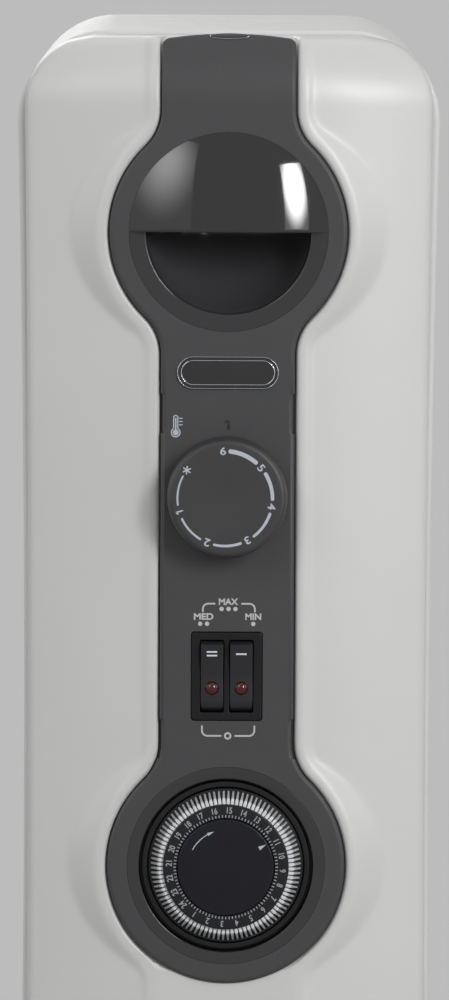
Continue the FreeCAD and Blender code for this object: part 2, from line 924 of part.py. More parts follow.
def hood_cap(wall):
    """Half of a shallow dome of a wall, over the upper half of the bowl."""
    ball = (handle_radius**2 + hood_rise**2) / (2 * hood_rise)
    apex = strip_face - hood_rise
    centre = apex + ball
    half = handle_radius / 2
    inner = math.sqrt((ball - wall) ** 2 - (ball - hood_rise) ** 2)
    start = (0.0, apex)
    steps = [
        ((half, centre - math.sqrt(ball**2 - half**2)), (handle_radius, strip_face)),
        (inner, strip_face),
        ((inner / 2, centre - math.sqrt((ball - wall) ** 2 - inner**2 / 4)), (0.0, apex + wall)),
    ]
    return turned(0, handle_z, start, *steps, angle=180)


def handle_hood():
    """Domed hood with a thicker gripping edge."""
    reach = handle_radius + OVERCUT
    grip = box(
        -reach, reach, strip_face - hood_rise - OVERCUT, OVERCUT, handle_z, handle_z + hood_grip_height
    )
    return hood_cap(hood_wall).fuse(hood_cap(hood_grip_wall).common(grip))


# Thermostat
def shaft_bar(radius, front, back):
    """Round bar with a flat, at the thermostat's axis."""
    bar = rod_y(radius, front, back, 0, knob_z)
    flat = radius - shaft_flat
    return bar.cut(box(-radius, radius, front, back, knob_z + flat, knob_z + radius))


def thermostat_knob():
    """Round hollow knob with a hub."""
    back = strip_face - moving_gap
    edge = knob_edge_round
    top = knob_radius - knob_taper
    slack = edge * (1 - math.sqrt(0.5))
    inside = knob_radius - knob_wall
    floor = knob_face + knob_wall
    shell = turned(
        0,
        knob_z,
        (0.0, knob_face),
        (top - edge, knob_face),
        ((top - slack, knob_face + slack), (top, knob_face + edge)),
        (knob_radius, back),
        (inside, back),
        (inside - knob_taper, floor),
        (knob_hub_radius, floor),
        (knob_hub_radius, back),
        (0.0, back),
    )
    return shell.cut(shaft_bar(shaft_radius + press_gap, floor, back + OVERCUT))


def thermostat_shaft():
    """Steel shaft from the knob into the thermostat."""
    return shaft_bar(shaft_radius, knob_face + knob_wall, thermostat_bore_depth)


def thermostat_body():
    """Thermostat on the back of the strip, with its shaft bore and screw holes."""
    low = knob_z - thermostat_height / 2
    high = knob_z + thermostat_height / 2
    face = rounded_rectangle(thermostat_width / 2, low, high, switch_corner, 0.0)
    bore_end = thermostat_bore_depth + moving_gap
    screw_end = thermostat_screw_length + thermostat_screw_room
    bore = rod_y(shaft_radius + running_clearance, -OVERCUT, bore_end, 0, knob_z)
    block = plate(face, thermostat_depth).cut(bore)
    for side in (-1, 1):
        x = side * thermostat_screw_half_pitch
        block = block.cut(rod_y(screw_radius + press_gap, -OVERCUT, screw_end, x, knob_z))
    return block


def thermostat_screws():
    """Two screws that hold the thermostat to the strip, hidden under the knob."""
    screws = []
    for side in (-1, 1):
        x = side * thermostat_screw_half_pitch
        head = rod_y(screw_head_radius, strip_face - screw_head_height, strip_face, x, knob_z)
        screws.append(head.fuse(rod_y(screw_radius, strip_face, thermostat_screw_length, x, knob_z)))
    return Part.makeCompound(screws)


# Switch
def switch_housing():
    """Frame and case of the twin switch, with a window and pin holes for each rocker."""
    front = strip_face - switch_proud
    half = switch_width / 2
    tall = switch_height / 2
    face = rounded_rectangle(half, switch_z - tall, switch_z + tall, switch_corner, front)
    frame = plate(face, switch_depth - front)
    wide = half + switch_flange
    high = tall + switch_flange
    flange = rounded_rectangle(wide, switch_z - high, switch_z + high, switch_corner, 0.0)
    case = frame.fuse(plate(flange, seat_thickness))
    reach = rocker_width / 2 + rocker_side_gap
    pin_reach = rocker_width / 2 + rocker_pin_length + rocker_side_gap
    for side in (-1, 1):
        x = side * rocker_half_pitch
        window = box(
            x - reach,
            x + reach,
            front - OVERCUT,
            window_depth,
            switch_z - rocker_window_half,
            switch_z + rocker_window_half,
        )
        hole = rocker_pin_radius + running_clearance
        pin = rod_x(hole, x - pin_reach, x + pin_reach, rocker_pivot_depth, switch_z)
        case = case.cut(window).cut(pin)
    return case


def rocker(x):
    """Rocker at off: lower face level with the frame, upper face leaning out, round ends."""
    half = rocker_width / 2
    reach = 2 * rocker_swing_radius
    lean = math.radians(rocker_tilt)
    place = lambda depth, z: at(x - half, depth, switch_z + z)
    wedge = outline(
        place,
        (rocker_face_depth, 0.0),
        (rocker_face_depth - reach * math.sin(lean), reach * math.cos(lean)),
        (rocker_back_depth, reach * math.cos(lean)),
        (rocker_back_depth, -reach),
        (rocker_face_depth, -reach),
    )
    body = Part.Face(wedge).extrude(ALONG_X * rocker_width)
    swing = rod_x(rocker_swing_radius, x - half, x + half, rocker_pivot_depth, switch_z)
    body = body.common(swing)
    pin_half = half + rocker_pin_length
    pin = rod_x(rocker_pin_radius, x - pin_half, x + pin_half, rocker_pivot_depth, switch_z)
    body = body.fuse(pin)
    seat = rod_y(
        lens_radius + press_gap,
        rocker_face_depth - OVERCUT,
        rocker_face_depth + lens_length,
        x,
        switch_z - lens_below_middle,
    )
    return body.cut(seat)


def lens(x):
    """Domed pilot lens set in the rocker's lower face."""
    ball = (lens_radius**2 + lens_rise**2) / (2 * lens_rise)
    apex = rocker_face_depth - lens_rise
    half = lens_radius / 2
    return turned(
        x,
        switch_z - lens_below_middle,
        (0.0, apex),
        ((half, apex + ball - math.sqrt(ball**2 - half**2)), (lens_radius, rocker_face_depth)),
        (lens_radius, rocker_face_depth + lens_length),
        (0.0, rocker_face_depth + lens_length),
    )


# Timer
def timer_bezel():
    """Ring with a sloping face and the round well that the dial turns in."""
    inner = timer_bezel_inner
    return turned(
        0,
        timer_z,
        (timer_bezel_radius, strip_face),
        (timer_bezel_radius, 0.0),
        (timer_bezel_radius + seat_flange, 0.0),
        (timer_bezel_radius + seat_flange, seat_thickness),
        (inner + timer_bezel_wall, seat_thickness),
        (inner + timer_bezel_wall, timer_well_depth),
        (inner, timer_well_depth),
        (inner, bezel_lip_depth),
    )


def timer_dial():
    """Turning drum: number ring in front, a cone that carries the tappets, and a rim in the well."""
    hole = spindle_radius + running_clearance
    hub = hole + dial_hub_wall
    hollow = dial_floor_depth + dial_wall
    return turned(
        0,
        timer_z,
        (hole, dial_floor_depth),
        (number_ring_inner, dial_floor_depth),
        (number_ring_inner, dial_face_depth),
        (number_ring_outer, dial_face_depth),
        (number_ring_outer, tappet_inner_depth + tappet_inner_height),
        (tappet_inner, tappet_inner_depth + tappet_inner_height),
        (tappet_outer, dial_rim_depth),
        (dial_radius, dial_rim_depth),
        (dial_radius, dial_back_depth),
        (number_ring_outer - dial_wall, dial_back_depth),
        (number_ring_outer - dial_wall, hollow),
        (hub, hollow),
        (hub, dial_back_depth),
        (hole, dial_back_depth),
    )


def timer_tappets():
    """Ring of wedge tappets on the dial, one for each quarter of an hour."""
    place = lambda radius, depth: at(-tappet_width / 2, depth, timer_z + radius)
    wedge = outline(
        place,
        (tappet_inner, tappet_inner_depth + tappet_inner_height),
        (tappet_inner, tappet_inner_depth),
        (tappet_outer, tappet_outer_depth),
        (tappet_outer, dial_rim_depth),
    )
    tappet = Part.Face(wedge).extrude(ALONG_X * tappet_width)
    step = 360.0 / tappet_count
    angles = [step * (index + 0.5) for index in range(tappet_count)]
    return Part.makeCompound([tappet.rotated(at(0, 0, timer_z), ALONG_Y, angle) for angle in angles])


def timer_centre_cap():
    """Fixed disc in front of the dial, on a spindle that the dial turns on."""
    disc = rod_y(cap_radius, cap_depth, cap_depth + cap_thickness, 0, timer_z)
    end = timer_well_depth
    return disc.fuse(rod_y(spindle_radius, cap_depth + cap_thickness, end, 0, timer_z))


def timer_body():
    """Clockwork case behind the bezel, with a round front inside the well."""
    floor = dial_back_depth + moving_gap
    plug = rod_y(timer_bezel_inner - part_clearance, floor, timer_well_depth, 0, timer_z)
    half = timer_body_width / 2
    wide = timer_bezel_inner + timer_bezel_wall
    face = rounded_rectangle(half, timer_z - half, timer_z + half, timer_body_corner, timer_well_depth)
    case = plate(face, timer_body_depth)
    shoulder = rod_y(wide, timer_well_depth, timer_well_depth + seat_thickness, 0, timer_z)
    case = case.fuse(plug).fuse(shoulder)
    return case.cut(rod_y(spindle_radius + press_gap, floor - OVERCUT, timer_well_depth, 0, timer_z))


# Heat shield and electrics
def spacer_places():
    """Places (x, z) of the four posts between the shield and the first fin."""
    heights = (header_low + spacer_from_header, header_high - spacer_from_header)
    return [(x, z) for x in (-spacer_half_pitch, spacer_half_pitch) for z in heights]


def cover_screw_places():
    """Places (x, depth) of the screws in the bottom of the cover."""
    depth = shield_front - shield_tab_reach / 2
    return [(-cover_screw_half_pitch, depth), (cover_screw_half_pitch, depth)]


def rear_shield():
    """Sheet that closes the back of the cover, with a tab at its top and its bottom."""
    inset = cover_sheet + shield_clearance
    sheet = plate(cover_wire(inset, shield_front), shield_sheet)
    inner_low = cover_bottom + cover_sheet
    inner_high = cover_top - cover_sheet
    tabs = (
        (inner_low, inner_low + shield_sheet),
        (inner_high - shield_sheet, inner_high),
    )
    for low, high in tabs:
        tab = box(
            -shield_tab_half, shield_tab_half, shield_front - shield_tab_reach, shield_back, low, high
        )
        sheet = sheet.fuse(tab)
    hole = element_flange_radius + shield_hole_clearance
    sheet = sheet.cut(rod_y(hole, shield_front - OVERCUT, shield_back + OVERCUT, 0, header_low))
    for x, z in spacer_places():
        sheet = sheet.cut(
            rod_y(screw_radius + part_clearance, shield_front - OVERCUT, shield_back + OVERCUT, x, z)
        )
    for x, depth in cover_screw_places():
        sheet = sheet.cut(
            rod_z(screw_radius + press_gap, inner_low - OVERCUT, inner_low + OVERCUT, x, depth)
        )
    return sheet


def shield_spacers():
    """Four posts from the first fin's web to the shield."""
    web = first_fin_depth - fin_sheet
    posts = []
    for x, z in spacer_places():
        post = rod_y(spacer_radius, shield_back, web, x, z)
        bore = rod_y(screw_radius + press_gap, shield_back - OVERCUT, web - spacer_radius, x, z)
        posts.append(post.cut(bore))
    return Part.makeCompound(posts)


def shield_screws():
    """Screws that hold the shield to its posts."""
    screws = []
    for x, z in spacer_places():
        head = rod_y(screw_head_radius, shield_front - screw_head_height, shield_front, x, z)
        end = shield_back + 2 * spacer_radius
        screws.append(head.fuse(rod_y(screw_radius, shield_front, end, x, z)))
    return Part.makeCompound(screws)


def cover_screws():
    """Screws up through the bottom of the cover into the shield's tab."""
    screws = []
    for x, depth in cover_screw_places():
        head = rod_z(screw_head_radius, cover_bottom - screw_head_height, cover_bottom, x, depth)
        tip = cover_bottom + cover_screw_length
        screws.append(head.fuse(rod_z(screw_radius, cover_bottom, tip, x, depth)))
    return Part.makeCompound(screws)


def terminal_block():
    """Row of terminals on the front of the shield."""
    z = timer_z - timer_body_width / 2 - terminal_timer_gap - terminal_height / 2
    front = shield_front - terminal_depth
    low = z - terminal_height / 2
    high = z + terminal_height / 2
    block = box(-terminal_width / 2, terminal_width / 2, front, shield_front, low, high)
    pitch = terminal_width / terminal_ways
    for way in range(terminal_ways):
        x = -terminal_width / 2 + pitch * (way + 0.5)
        middle = shield_front - terminal_depth / 2
        block = block.cut(rod_z(terminal_wire_radius, low - OVERCUT, high + OVERCUT, x, middle))
        block = block.cut(rod_y(terminal_screw_radius, front - OVERCUT, middle, x, z))
    return block


def thermal_cutout():
    """Snap-disc cut-out on the front of the first fin's column."""
    x = gallery_width / 2 - column_width / 2
    z = header_low + cutout_above_header
    back = first_fin_depth - gallery_half_thickness
    disc = rod_y(cutout_radius, back - cutout_thickness / 2, back, x, z)
    cap = rod_y(cutout_cap_radius, back - cutout_thickness, back - cutout_thickness / 2, x, z)
    return disc.fuse(cap)


def cord_gland():
    """Cable gland through the bottom of the cover, with its nut inside."""
    inner = cover_bottom + cover_sheet
    low = cover_bottom - gland_drop
    top = inner + gland_flange_height
    body = rod_z(gland_sleeve_radius, low, top, gland_x, gland_depth)
    body = body.fuse(
        rod_z(gland_flange_radius, cover_bottom - gland_flange_height, cover_bottom, gland_x, gland_depth)
    )
    body = body.fuse(rod_z(gland_flange_radius, inner, top, gland_x, gland_depth))
    return body.cut(rod_z(gland_bore_radius, low - OVERCUT, top + OVERCUT, gland_x, gland_depth))


# Feet
def foot_block(wall):
    """Arched beam under two fins, drawn inside by wall and open below when wall is given."""
    end = foot_span / 2 - wall
    top = fin_bottom - wall
    across = foot_span / 2 - foot_saddle_half
    radius = (across**2 + foot_end_drop**2) / (2 * foot_end_drop)
    past_end = foot_span / 2 + OVERCUT
    turn = math.asin((past_end - foot_saddle_half) / radius)
    bow_x = foot_saddle_half + radius * math.sin(turn / 2)
    bow_z = top - radius * (1 - math.cos(turn / 2))
    low = foot_end_floor - (OVERCUT if wall else 0.0)
    middle = low if wall else fin_bottom - foot_middle_thickness
    side = [
        ((bow_x, bow_z), (past_end, top - radius * (1 - math.cos(turn)))),
        (past_end, low),
        (foot_slope_outer, low),
        (foot_slope_inner, middle),
    ]
    start = (foot_saddle_half, top)
    half = foot_width / 2 - wall
    profile = outline(front_plane(-half), start, *both_sides(start, side))
    beam = plate(profile, 2 * half)
    straight = end - half
    plan = outline(
        plan_plane(low),
        (straight, -half),
        ((end, 0.0), (straight, half)),
        (-straight, half),
        ((-end, 0.0), (-straight, -half)),
    )
    return beam.common(Part.Face(plan).extrude(ALONG_Z * (fin_top - low)))


def u_bolt_reach():
    """Distance of each leg of the U-bolt from the middle."""
    return header_radius + u_bolt_gap + u_bolt_wire


def foot():
    """Moulded foot about depth 0: a ribbed hollow beam with stem sockets and bolt bosses."""
    full = foot_block(0.0)
    solid = full.cut(foot_block(foot_wall))
    half = foot_width / 2
    reach = u_bolt_reach()
    fill = box(-foot_span / 2, foot_span / 2, -foot_rib / 2, foot_rib / 2, 0, fin_bottom)
    for x in (-castor_x, castor_x):
        fill = fill.fuse(rod_z(boss_radius, 0, fin_bottom, x, 0))
    for x in (-foot_cross_rib, foot_cross_rib):
        fill = fill.fuse(box(x - foot_rib / 2, x + foot_rib / 2, -half, half, 0, fin_bottom))
    for x in (-reach, reach):
        fill = fill.fuse(rod_z(u_bolt_boss, 0, fin_bottom, x, 0))
    solid = solid.fuse(fill.common(full)).removeSplitter()
    for x in (-castor_x, castor_x):
        socket_top = fork_top + stem_rise + stem_end_gap
        solid = solid.cut(rod_z(stem_radius + running_clearance, 0, socket_top, x, 0))
    for x in (-reach, reach):
        solid = solid.cut(rod_z(u_bolt_wire + part_clearance, 0, fin_bottom + OVERCUT, x, 0))
    return solid


def u_bolt(depth):
    """Bolt bent round the lower header between two fins, with its legs through the foot."""
    reach = u_bolt_reach()
    low = fin_bottom - foot_middle_thickness - u_bolt_tail
    return hairpin(
        u_bolt_wire,
        at(-reach, depth, low),
        at(-reach, depth, header_low),
        at(0, depth, header_low + reach),
        at(reach, depth, header_low),
        at(reach, depth, low),
        ALONG_Z,
    )


def bolt_places():
    """Places (x, depth) of the U-bolts' legs."""
    reach = u_bolt_reach()
    return [(x, depth) for x in (-reach, reach) for depth in (front_foot_depth, rear_foot_depth)]


def washer(x, depth):
    """Washer under the foot, on a leg of the U-bolt."""
    top = fin_bottom - foot_middle_thickness
    ring = rod_z(washer_radius, top - washer_thickness, top, x, depth)
    return ring.cut(rod_z(u_bolt_wire + part_clearance, top - OVERCUT, top + OVERCUT, x, depth))


def wing_nut(x, depth):
    """Wing nut below the washer."""
    top = fin_bottom - foot_middle_thickness - washer_thickness
    low = top - wing_nut_height
    nut = Part.makeCone(
        wing_nut_radius, wing_nut_tip_radius, wing_nut_height, at(x, depth, top), -ALONG_Z
    )
    for side in (-1, 1):
        root = side * u_bolt_wire
        bow = side * wing_bow
        tip = side * wing_span / 2
        place = lambda across, z: at(x + across, depth - wing_thickness / 2, z)
        wing = outline(
            place,
            (root, top - wing_root_drop),
            ((bow, top - wing_bow_drop), (tip, low - wing_tip_drop)),
            ((bow, low - wing_low_drop), (root, low)),
        )
        nut = nut.fuse(plate(wing, wing_thickness))
    return nut.cut(rod_z(u_bolt_wire + press_gap, low - OVERCUT, top + OVERCUT, x, depth))


# Castors, made about a stem on the Z axis at depth 0, wheels trailing to the front
def castor_fork():
    """Plastic fork with a fender over both wheels, an axle hub and a boss for the stem."""
    inner = wheel_radius + fender_gap
    outer = inner + fender_wall
    half = fork_web / 2 + wheel_width + moving_gap
    low = wheel_radius - fender_skirt
    skirt = box(-half, half, -fork_trail - outer, -fork_trail + outer, low, fork_top)
    fender = rod_x(outer, -half, half, -fork_trail, wheel_radius).common(skirt)
    boss = rod_z(fork_boss_radius, wheel_radius, fork_top, 0, 0)
    room = rod_x(inner, -half - OVERCUT, half + OVERCUT, -fork_trail, wheel_radius)
    fender = fender.fuse(boss).cut(room)
    web_half = fork_web / 2
    web = rod_x(inner, -web_half, web_half, -fork_trail, wheel_radius).common(skirt)
    hub = rod_x(fork_hub_radius, -web_half, web_half, -fork_trail, wheel_radius)
    fork = fender.fuse(web).fuse(hub)
    fork = fork.cut(rod_x(axle_radius + running_clearance, -half, half, -fork_trail, wheel_radius))
    return fork.cut(rod_z(stem_radius + press_gap, fork_top - stem_seat, fork_top + OVERCUT, 0, 0))


def castor_stem():
    """Steel swivel pin, pressed into the fork."""
    return rod_z(stem_radius, fork_top - stem_seat, fork_top + stem_rise, 0, 0)


def castor_axle():
    """Axle that both wheels are pressed on."""
    half = fork_web / 2 + moving_gap + wheel_width - wheel_dish
    return rod_x(axle_radius, -half, half, -fork_trail, wheel_radius)


def castor_wheel(side):
    """Wheel with rounded tread edges and a dished outer face."""
    inner = fork_web / 2 + moving_gap
    outer = inner + wheel_width
    edge = wheel_edge_round
    slack = edge * (1 - math.sqrt(0.5))
    bore = axle_radius + press_gap
    place = lambda x, radius: at(side * x, -fork_trail, wheel_radius + radius)
    section = outline(
        place,
        (inner, bore),
        (inner, wheel_radius - edge),
        ((inner + slack, wheel_radius - slack), (inner + edge, wheel_radius)),
        (outer - edge, wheel_radius),
        ((outer - slack, wheel_radius - slack), (outer, wheel_radius - edge)),
        (outer, wheel_dish_radius),
        (outer - wheel_dish, wheel_dish_radius - wheel_dish),
        (outer - wheel_dish, bore),
    )
    return Part.Face(section).revolve(at(0, -fork_trail, wheel_radius), ALONG_X, 360)


def castors():
    """All pieces of the four castors in place, by node name."""
    pieces = {
        "fork": castor_fork(),
        "stem": castor_stem(),
        "axle": castor_axle(),
        "wheels": Part.makeCompound([castor_wheel(-1), castor_wheel(1)]),
    }
    depths = (front_foot_depth, rear_foot_depth)
    corners = [(x, depth) for depth in depths for x in (-castor_x, castor_x)]
    return {
        f"castor_{index + 1}_{name}": piece.translated(Vector(x, depth, 0))
        for index, (x, depth) in enumerate(corners)
        for name, piece in pieces.items()
    }


def all_pieces():
    """Every node of the radiator, by name."""
    pieces = fin_stack()
    pieces.update(castors())
    single = (
        heating_element,
        element_flange,
        oil_plug,
        front_cover,
        fascia,
        badge_rim,
        badge_plate,
        top_badge,
        handle_bowl,
        handle_hood,
        thermostat_knob,
        thermostat_shaft,
        thermostat_body,
        thermostat_screws,
        switch_housing,
        timer_bezel,
        timer_dial,
        timer_tappets,
        timer_centre_cap,
        timer_body,
        rear_shield,
        shield_spacers,
        shield_screws,
        cover_screws,
        terminal_block,
        thermal_cutout,
        cord_gland,
    )
    for maker in single:
        pieces[maker.__name__] = maker()
    for name, x in (("left", -rocker_half_pitch), ("right", rocker_half_pitch)):
        pieces[f"rocker_{name}"] = rocker(x)
        pieces[f"lens_{name}"] = lens(x)
    pieces["foot_front"] = foot().translated(ALONG_Y * front_foot_depth)
    pieces["foot_rear"] = foot().translated(ALONG_Y * rear_foot_depth)
    pieces["u_bolts"] = Part.makeCompound([u_bolt(front_foot_depth), u_bolt(rear_foot_depth)])
    pieces["washers"] = Part.makeCompound([washer(x, depth) for x, depth in bolt_places()])
    pieces["wing_nuts"] = Part.makeCompound([wing_nut(x, depth) for x, depth in bolt_places()])
    return pieces


os.makedirs("parts", exist_ok=True)
for node, shape in all_pieces().items():
    shape.exportStep(f"parts/{node}.step")
    volume = shape.Volume / 1000
    print(f"{node}: {len(shape.Solids)} solids, {volume:.2f} cm3, valid {shape.isValid()}")
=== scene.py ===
"""Oil-filled radiator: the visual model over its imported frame.

Sizes are in millimetres. Depth runs back from the flat lip of the front cover: the lip is at depth 0,
and what stands proud of it has a negative depth. Points are kept as (across, depth, height).
"""

import logging
import math
from dataclasses import dataclass
from enum import Enum
from typing import Callable, Sequence

import bmesh
import bpy
import numpy as np
from mathutils import Matrix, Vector
from mathutils.geometry import delaunay_2d_cdt


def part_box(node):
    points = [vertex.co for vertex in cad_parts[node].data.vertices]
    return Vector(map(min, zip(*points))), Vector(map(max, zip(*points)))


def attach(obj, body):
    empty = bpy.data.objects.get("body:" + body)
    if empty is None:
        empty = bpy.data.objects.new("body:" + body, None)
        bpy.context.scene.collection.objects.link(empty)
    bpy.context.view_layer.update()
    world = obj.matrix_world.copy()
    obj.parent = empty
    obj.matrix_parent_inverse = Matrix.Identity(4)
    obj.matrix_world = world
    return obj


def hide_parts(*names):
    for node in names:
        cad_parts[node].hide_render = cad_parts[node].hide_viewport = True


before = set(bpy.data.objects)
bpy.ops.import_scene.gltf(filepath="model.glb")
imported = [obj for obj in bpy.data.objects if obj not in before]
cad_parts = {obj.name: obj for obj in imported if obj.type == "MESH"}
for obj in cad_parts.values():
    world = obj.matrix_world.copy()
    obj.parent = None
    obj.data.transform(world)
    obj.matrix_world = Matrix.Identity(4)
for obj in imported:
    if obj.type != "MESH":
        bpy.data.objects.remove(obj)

Array = np.ndarray
LoopAt = Callable[[float], Array]
Pair = tuple[float, float]
Colour = tuple[int, int, int]
Socket = bpy.types.NodeSocket
Inputs = dict[str | int, object]
LOG = logging.getLogger("radiator")
MM = 0.001
WELD = 0.000002
TINY = 1e-6
HAIR = 0.001
QUARTER = math.pi / 2
WHOLE = 2 * math.pi
PRINT_RISE = 0.05
PRINT_STEP = 0.01
PRINT_SHARP = 40.0
BROKEN = 40.0
NOISE_SPAN = (0.3, 0.7)
SCUFF_SPAN = (0.60, 0.78)
SCUFF_COLOUR = (150, 150, 148)
ROOT = "radiator"
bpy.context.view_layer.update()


class Slot(Enum):
    """Material slots of the record."""

    ENAMEL = "enamel"
    DARK = "dark_plastic"
    GLOSS = "gloss_black"
    SWITCH = "switch_black"
    LENS = "red_lens"
    DIAL = "dial_black"
    TAPPET = "tappet_grey"
    CHROME = "chrome_trim"
    BADGE = "badge_face"
    ZINC = "zinc_steel"
    BRASS = "brass"
    FOOT = "foot_black"
    WHEEL = "wheel_black"


class Relief(Enum):
    """Kinds of fine relief on a surface."""

    PEEL = "soft waves of a sprayed coat"
    GRAIN = "cells of a spark-eroded mould"
    FINE = "fine noise of a polished mould"
    BRUSHED = "lines of a rolled or plated metal"


@dataclass(frozen=True)
class Span:
    """Box of a CAD node in millimetres."""

    low: Array
    high: Array

    @classmethod
    def of(cls, node: str) -> "Span":
        """Box of the named node."""
        low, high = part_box(node)
        return cls(np.array(low) / MM, np.array(high) / MM)

    @property
    def middle(self) -> Array:
        """Middle of the box."""
        return (self.low + self.high) / 2

    @property
    def size(self) -> Array:
        """Size of the box along each axis."""
        return self.high - self.low


LIP_Y = float(Span.of("front_cover").low[1])


def linear(colour: Sequence[float]) -> tuple[float, float, float, float]:
    """Turn a screen colour into the linear colour that shaders take, by the usual screen curve.

    Args:
        colour: red, green and blue of 0 to 255, as seen on a screen.

    Returns:
        Linear red, green, blue and a full alpha.
    """
    value = np.asarray(colour, float) / 255
    low = value / 12.92
    high = ((value + 0.055) / 1.055) ** 2.4
    red, green, blue = np.where(value <= 0.04045, low, high)
    return float(red), float(green), float(blue), 1.0


@dataclass(frozen=True)
class Nodes:
    """Node tree with short ways to add to it."""

    tree: bpy.types.NodeTree

    def feed(self, node: bpy.types.Node, inputs: Inputs) -> None:
        """Set or link the inputs of a node.

        Args:
            node: node to feed.
            inputs: by name or number, a value to set or a socket to link from.
        """
        for key, value in inputs.items():
            if isinstance(value, Socket):
                self.tree.links.new(value, node.inputs[key])
            else:
                node.inputs[key].default_value = value

    def add(self, kind: str, inputs: Inputs, **settings: str) -> bpy.types.Node:
        """Add a node.

        Args:
            kind: kind of shader node.
            inputs: what it is fed with.
            settings: its other settings.

        Returns:
            The new node.
        """
        node = self.tree.nodes.new(f"ShaderNode{kind}")
        for name, value in settings.items():
            setattr(node, name, value)
        self.feed(node, inputs)
        return node

    def noise(self, place: Socket, scale: float, detail: float) -> Socket:
        """Noise of a scale and detail at the given coordinates."""
        return self.add("TexNoise", {"Vector": place, "Scale": scale, "Detail": detail}).outputs["Fac"]

    def mapped(self, value: Socket, source: Pair, target: Pair, ease: str = "LINEAR") -> Socket:
        """Value mapped from a source range to a target range and held at its ends."""
        limits = dict(zip(("From Min", "From Max", "To Min", "To Max"), (*source, *target)))
        return self.add("MapRange", {"Value": value, **limits}, interpolation_type=ease).outputs["Result"]


@dataclass(frozen=True)
class Finish:
    """A finish whose tone, gloss and relief vary over the surface.

    Scales count patches or bumps in a metre. The tone spread is the share of colour that the darkest patches
    lose, the gloss spread is half the range of the roughness, and the relief's height is in millimetres.
    """

    name: str
    colour: Colour
    roughness: float
    metallic: float = 0.0
    coat: float = 0.0
    coat_rough: float = 0.03
    tone_spread: float = 0.06
    tone_scale: float = 30.0
    gloss_spread: float = 0.04
    gloss_scale: float = 90.0
    relief: Relief = Relief.FINE
    relief_scale: float = 2500.0
    relief_height: float = 0.01
    wear: float = 0.0
    specular: float = 0.5

    def material(self) -> bpy.types.Material:
        """Make the material, or give the one that is already there."""
        return bpy.data.materials.get(self.name) or self._make()

    def _make(self) -> bpy.types.Material:
        """Build the node tree: noise for tone and gloss, a relief texture for the bump.

        Returns:
            The new material.
        """
        material = bpy.data.materials.new(self.name)
        material.use_nodes = True
        nodes = Nodes(material.node_tree)
        place = nodes.add("TexCoord", {}).outputs["Object"]
        pale = linear(self.colour)
        dark = tuple(part * (1 - self.tone_spread) for part in pale[:3]) + (1.0,)
        ramp = nodes.add("ValToRGB", {"Fac": nodes.noise(place, self.tone_scale, 4.0)})
        for end, position, tone in zip(ramp.color_ramp.elements, NOISE_SPAN, (dark, pale)):
            end.position = position
            end.color = tone
        colour = ramp.outputs["Color"]
        if self.wear:
            scuffs = nodes.noise(place, self.tone_scale * 9, 8.0)
            share = nodes.mapped(scuffs, SCUFF_SPAN, (0.0, self.wear))
            worn = {0: share, 6: colour, 7: linear(SCUFF_COLOUR)}
            colour = nodes.add("Mix", worn, data_type="RGBA").outputs[2]
        gloss = nodes.noise(place, self.gloss_scale, 3.0)
        limits = (max(self.roughness - self.gloss_spread, 0.02), self.roughness + self.gloss_spread)
        relief = {"Strength": 1.0, "Distance": self.relief_height * MM, "Height": self._relief(nodes, place)}
        look = {
            "Base Color": colour,
            "Roughness": nodes.mapped(gloss, NOISE_SPAN, limits),
            "Metallic": self.metallic,
            "Coat Weight": self.coat,
            "Coat Roughness": self.coat_rough,
            "Specular IOR Level": self.specular,
            "Normal": nodes.add("Bump", relief).outputs["Normal"],
        }
        nodes.feed(material.node_tree.nodes["Principled BSDF"], look)
        return material

    def _relief(self, nodes: Nodes, place: Socket) -> Socket:
        """Relief texture of this finish.

        Args:
            nodes: node tree to add to.
            place: coordinates to read.

        Returns:
            Height of the relief.
        """
        if self.relief is Relief.GRAIN:
            cells = {"Scale": self.relief_scale, "Vector": place}
            return nodes.add("TexVoronoi", cells, feature="SMOOTH_F1").outputs["Distance"]
        if self.relief is Relief.BRUSHED:
            stretch = {"Scale": (1.0, 1.0, 0.06), "Vector": place}
            place = nodes.add("Mapping", stretch).outputs["Vector"]
        return nodes.noise(place, self.relief_scale, 1.0 if self.relief is Relief.PEEL else 4.0)


def ink(name: str, colour: Colour, roughness: float = 0.50, spread: float = 0.08) -> Finish:
    """Printed ink: a thin and nearly even film."""
    grain = {"tone_scale": 900.0, "relief_scale": 4000.0, "relief_height": 0.004}
    return Finish(name, colour, roughness, tone_spread=spread, **grain)


ENAMEL = Finish(
    "off_white_enamel", (211, 211, 210), 0.40, coat=0.22, coat_rough=0.34, tone_spread=0.03,
    tone_scale=14.0, relief=Relief.PEEL, relief_scale=420.0, relief_height=0.015,
)
FIN_ENAMEL = Finish(
    "off_white_fin_enamel", (219, 219, 218), 0.40, coat=0.2, tone_spread=0.05, tone_scale=22.0,
    relief=Relief.PEEL, relief_scale=520.0, relief_height=0.025,
)
FASCIA_PLASTIC = Finish(
    "grained_charcoal_plastic", (61, 61, 63), 0.52, tone_spread=0.08, tone_scale=60.0,
    relief=Relief.GRAIN, relief_scale=2300.0, relief_height=0.022,
)
KNOB_PLASTIC = Finish(
    "satin_charcoal_plastic", (52, 52, 54), 0.46, tone_scale=80.0,
    relief=Relief.GRAIN, relief_scale=2600.0, relief_height=0.015,
)
GLOSS_PLASTIC = Finish(
    "gloss_black_plastic", (33, 33, 35), 0.05, coat=0.6, tone_spread=0.1, gloss_spread=0.015,
    gloss_scale=120.0, relief=Relief.PEEL, relief_scale=300.0, relief_height=0.004,
)
RING_PLASTIC = Finish(
    "satin_ring_plastic", (52, 52, 54), 0.09, coat=0.3, specular=0.4, tone_spread=0.08,
    tone_scale=70.0, relief_scale=2400.0,
)
